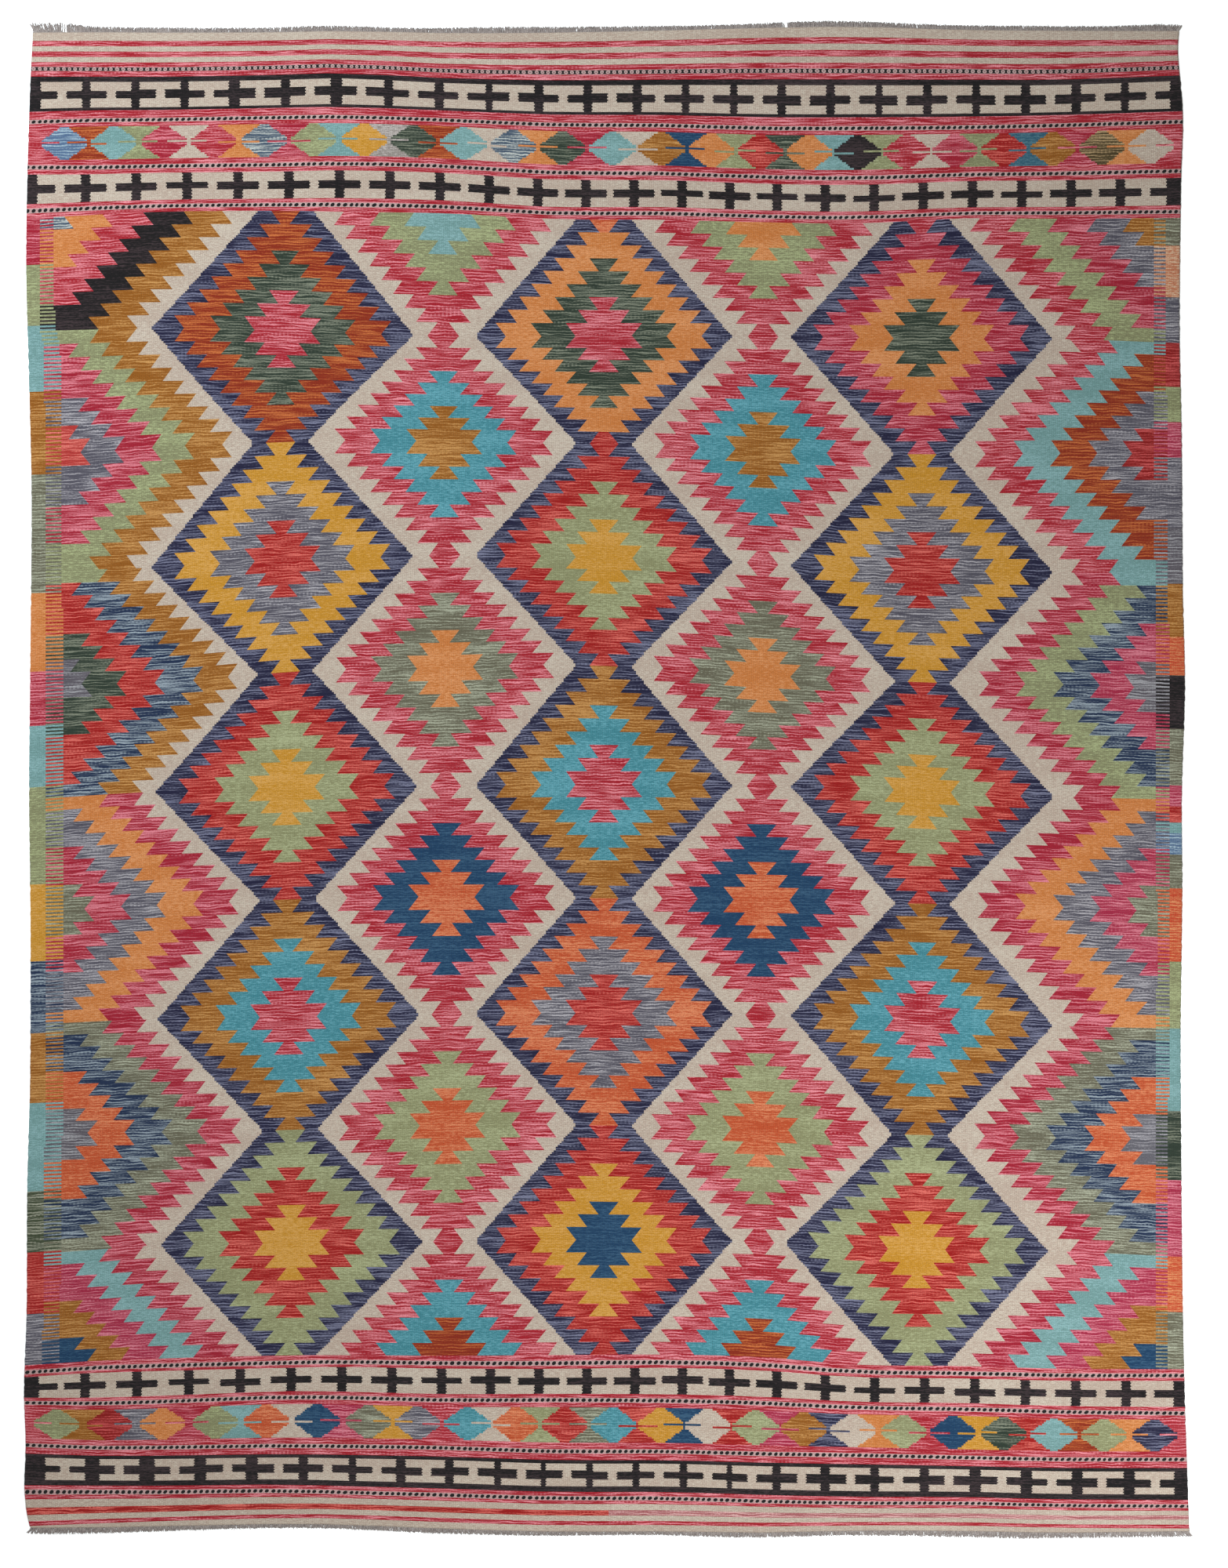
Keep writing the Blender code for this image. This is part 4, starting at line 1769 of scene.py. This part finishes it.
@dataclass(frozen=True)
class ClippedFringe:
    """Clipped warp ends past one end edge, as fine separate strands of grey wool.

    Attributes:
        name: Name of the piece.
        far: Whether it is the far end's.
        reach: How far the strands pass the edge, at places across.
        seed: Seed for their unevenness.
        sparse: Places where a few strands are missing.
        pitch: Distance from strand to strand.
        root_inside: How far inside the cloth a strand begins.
        stations: Shares of a strand's length at which it bends.
        lengths: Shortest and longest strand, as shares of the reach.
        thicknesses: Radius of the finest and the thickest one.
        tip_heights: How high the lowest and the highest tip lie.
        lean: How far a strand's tip strays from its neighbours'.
        sway: How far the tips of neighbours stray together.
        sway_length: Distance over which that changes.
        splay_from: Place across from which the strands fan out.
        splay: How much they do, for each mm past it.
        curl: How far a strand's middle strays.
        gap_half_width: Half the width of a sparse place.
        missing: Share of the strands that is missing there.
        hair_every: Number of strands from one stray hair to the next.
        hair_lengths: Shortest and longest hair.
        hair_radius: Radius of a hair's root.
    """

    name: str
    far: bool
    reach: SmoothLine
    seed: int
    sparse: tuple[float, ...] = ()
    pitch: float = 0.72
    root_inside: float = 2.5
    stations: tuple[float, ...] = (0.0, 0.55, 1.0)
    lengths: tuple[float, float] = (0.72, 1.08)
    thicknesses: tuple[float, float] = (0.6, 0.95)
    tip_heights: tuple[float, float] = (0.6, 2.0)
    lean: float = 1.7
    sway: float = 4.0
    sway_length: float = 25.0
    splay_from: float = 935.0
    splay: float = 0.11
    curl: float = 0.9
    gap_half_width: float = 5.0
    missing: float = 0.7
    hair_every: int = 3
    hair_lengths: tuple[float, float] = (2.0, 5.0)
    hair_radius: float = 0.32

    @property
    def depth(self) -> float:
        """Depth of the edge that it grows from."""
        return 0.0 if self.far else CLOTH_LENGTH

    @property
    def outward(self) -> int:
        """Which way along y leads away from the cloth."""
        return 1 if self.far else -1

    def strand(self, x: float, rng: random.Random) -> list[tuple[float, ...]]:
        """Middle and radius of one strand at each station, from its root to its tip.

        Args:
            x: Place across of its root.
            rng: Source of its unevenness.

        Returns:
            Rows of x, y, height and radius.
        """
        edge = weft_line(self.depth).at(x)
        length = self.reach.at(x) * rng.uniform(*self.lengths) + self.root_inside
        lean = rng.gauss(0.0, self.lean)
        lean += self.sway * noise.noise(Vector((x / self.sway_length, self.seed, 0.0)))
        lean += math.copysign(max(0.0, abs(x) - self.splay_from) * self.splay, x)
        curl = rng.gauss(0.0, self.curl)
        tip_height = rng.uniform(*self.tip_heights)
        thickness = rng.uniform(*self.thicknesses)
        root_height = CLOTH_THICKNESS / 2
        path = []
        for share in self.stations:
            along = edge + self.outward * (length * share - self.root_inside)
            side = x + lean * share**1.4 + curl * math.sin(math.pi * share)
            radius = thickness * (1.0 - 0.5 * share**3)
            height = max(root_height + (tip_height - root_height) * share**0.8, radius)
            path.append((side, along, height, radius))
        return path

    def stray_hair(self, x: float, rng: random.Random) -> list[tuple[float, ...]]:
        """One hair that stands out of the cut ends.

        Args:
            x: Place across of its root.
            rng: Source of its unevenness.

        Returns:
            Rows of x, y, height and radius.
        """
        start = weft_line(self.depth).at(x) + self.outward * self.reach.at(x) * rng.uniform(0.3, 0.8)
        turn = rng.gauss(0.0, self.curl)
        length = rng.uniform(*self.hair_lengths)
        path = []
        for share in (0.0, 0.5, 1.0):
            reach = length * share
            side = x + math.sin(turn * (1 + share)) * reach
            along = start + self.outward * math.cos(turn) * reach
            path.append((side, along, rng.uniform(0.8, 1.8), self.hair_radius - 0.15 * share))
        return path

    def paths(self) -> list[list[tuple[float, ...]]]:
        """All the strands and hairs, from the left selvedge to the right one.

        Returns:
            For each, rows of x, y, height and radius.
        """
        rng = random.Random(self.seed)
        left = LEFT_SELVEDGE.at(self.depth) + 2.0
        right = RIGHT_SELVEDGE.at(self.depth) - 2.0
        count = round((right - left) / self.pitch)
        paths = []
        for index in range(count):
            x = left + (right - left) * (index + rng.uniform(0.1, 0.9)) / count
            in_gap = any(abs(x - gap) < self.gap_half_width for gap in self.sparse)
            if in_gap and rng.random() < self.missing:
                continue
            paths.append(self.strand(x, rng))
            if index % self.hair_every == 0:
                paths.append(self.stray_hair(x, rng))
        return paths

    def build(self, material: bpy.types.Material) -> bpy.types.Object:
        """Draw every strand as a thin tapering curve, and turn them into one mesh.

        Args:
            material: The strands' wool.

        Returns:
            The fringe's object.
        """
        curve = bpy.data.curves.new(self.name + "_strands", "CURVE")
        curve.dimensions = "3D"
        curve.bevel_depth = MM
        curve.bevel_resolution = 1
        curve.use_fill_caps = True
        for path in self.paths():
            spline = curve.splines.new("POLY")
            spline.points.add(len(path) - 1)
            for point, (x, y, z, radius) in zip(spline.points, path):
                point.co = (x * MM, y * MM, z * MM, 1.0)
                point.radius = radius
        drawn = link_object(self.name + "_strands", curve)
        data = bpy.data.meshes.new_from_object(drawn)
        bpy.data.objects.remove(drawn)
        bpy.data.curves.remove(curve)
        mesh = bmesh.new()
        mesh.from_mesh(data)
        bmesh.ops.recalc_face_normals(mesh, faces=mesh.faces[:])
        for face in mesh.faces:
            face.smooth = len(face.verts) == 4  # a strand's cut ends stay flat
        mesh.to_mesh(data)
        mesh.free()
        data.materials.append(material)
        return link_object(self.name, data)


FAR_REACH = smooth_line(
    (-1000, 16.0), (-932, 15.0), (-895, 10.0), (-769, 8.6), (-605, 7.8), (-523, 9.6), (-360, 7.4),
    (-196, 10.2), (50, 8.2), (213, 6.8), (377, 9.6), (541, 7.4), (704, 7.8), (868, 7.8), (950, 10.8),
)
NEAR_REACH = smooth_line(
    (-932, 10.2), (-769, 8.2), (-687, 6.6), (-523, 6.2), (-278, 8.0), (-114, 6.6), (50, 5.4),
    (213, 8.0), (377, 7.4), (459, 8.2), (697, 10.8), (786, 9.0), (950, 9.2),
)


# ---------------------------------------------------------------- studio


@dataclass(frozen=True)
class SoftPanel:
    """A square soft light, out of the camera's sight.

    Attributes:
        name: Its name.
        place: Where it hangs, in metres.
        aim: Point of the floor that it faces.
        power: Its power in watts.
        tint: Its colour.
        size: Length of its sides.
    """

    name: str
    place: tuple[float, float, float]
    aim: tuple[float, float, float]
    power: float
    tint: tuple[float, float, float]
    size: float = 1.5

    def build(self) -> None:
        """Hang the panel."""
        panel = bpy.data.lights.new(self.name, "AREA")
        panel.shape = "SQUARE"
        panel.size = self.size
        panel.energy = self.power
        panel.color = self.tint
        lamp = bpy.data.objects.new(self.name, panel)
        lamp.location = self.place
        lamp.rotation_euler = (Vector(self.aim) - Vector(self.place)).to_track_quat("-Z", "Y").to_euler()
        lamp.visible_camera = False
        bpy.context.scene.collection.objects.link(lamp)


@dataclass(frozen=True)
class Studio:
    """A pale floor, soft light from two corners and a camera that looks straight down.

    Attributes:
        camera_height: Height of the camera over the floor, in mm.
        sensor_width: Width of its sensor, in mm.
        floor_size: Length of the floor's sides, in mm.
        floor_shade: How pale the floor is.
        fill: Strength of the light from all round.
        fill_tint: Its colour.
        panels: The soft panels.
    """

    camera_height: float = 6000.0
    sensor_width: float = 36.0
    floor_size: float = 30000.0
    floor_shade: float = 0.88
    fill: float = 0.43
    fill_tint: tuple[float, ...] = (1.0, 0.945, 0.86, 1.0)
    panels: tuple[SoftPanel, ...] = (
        SoftPanel("far_left_panel", (-1.77, 1.26, 3.07), (0.57, 1.62, 0.0), 205.0, (0.88, 0.95, 1.0)),
        SoftPanel("near_right_panel", (1.12, -1.0, 2.15), (1.76, -2.95, 0.0), 77.0, (0.95, 0.98, 1.0)),
    )

    def floor(self) -> bpy.types.Object:
        """The plain floor under the rug.

        Returns:
            The floor's object.
        """
        mesh = bmesh.new()
        bmesh.ops.create_grid(mesh, x_segments=1, y_segments=1, size=self.floor_size / 2 * MM)
        data = bpy.data.meshes.new("studio_floor")
        mesh.to_mesh(data)
        mesh.free()
        paper, _ = start_material("white_paper", {
            "Base Color": (self.floor_shade,) * 3 + (1.0,), "Roughness": 1.0, "Specular IOR Level": 0.0,
        })
        data.materials.append(paper)
        return link_object("studio_floor", data)

    def lights(self) -> None:
        """Faint warm light from all round, and the two panels."""
        world = bpy.data.worlds.new("soft_studio")
        world.use_nodes = True
        background = world.node_tree.nodes["Background"]
        background.inputs["Color"].default_value = self.fill_tint
        background.inputs["Strength"].default_value = self.fill
        bpy.context.scene.world = world
        for panel in self.panels:
            panel.build()

    def camera(self) -> None:
        """Camera straight above, framed as the photograph."""
        data = bpy.data.cameras.new("overhead")
        data.sensor_fit = "HORIZONTAL"
        data.sensor_width = self.sensor_width
        data.lens = self.sensor_width * self.camera_height / (PHOTO_SIZE[0] * PIXEL)
        data.clip_end = 100.0  # metres, past the floor's far corners
        camera = bpy.data.objects.new("overhead", data)
        x = (PHOTO_SIZE[0] / 2 - PHOTO_MIDDLE[0]) * PIXEL
        y = (PHOTO_MIDDLE[1] - PHOTO_SIZE[1] / 2) * PIXEL
        camera.location = (x * MM, y * MM, self.camera_height * MM)
        bpy.context.scene.collection.objects.link(camera)
        bpy.context.scene.camera = camera

    def build(self) -> bpy.types.Object:
        """Set up the studio and give its floor.

        Returns:
            The floor's object.
        """
        self.lights()
        self.camera()
        bpy.context.scene.view_settings.view_transform = "Standard"
        return self.floor()


def main() -> None:
    """Build the rug and the studio, hang each piece on the root body in place of the model's own part, and
    log its counts of faces.
    """
    logging.basicConfig(level=logging.INFO, format="%(name)s: %(message)s")
    floor = Studio().build()

    courses = border_courses(0.0, FAR_BORDER)
    courses += DiamondField().courses()
    courses += border_courses(FIELD_DEPTH + FIELD_ROWS * TOOTH_ROW, NEAR_BORDER)
    wools = WoolBasket()
    cloth = KilimCloth().build(courses, wools)
    triangles = sum(len(face.vertices) - 2 for face in cloth.data.polygons)
    log.info("cloth: %d courses, %d faces, %d triangles", len(courses), len(cloth.data.polygons), triangles)
    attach(cloth, "root")
    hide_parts("kilim_cloth")

    grey = WarpWool().material()
    for maker, node in (
        (ClippedFringe("far_fringe", True, FAR_REACH, 3, sparse=(-943.5, 308.7)), "fringe_top"),
        (ClippedFringe("near_fringe", False, NEAR_REACH, 4), "fringe_bottom"),
    ):
        fringe = maker.build(grey)
        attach(fringe, "root")
        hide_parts(node)
        log.info("%s: %d faces", fringe.name, len(fringe.data.polygons))


if __name__ == "__main__":
    main()
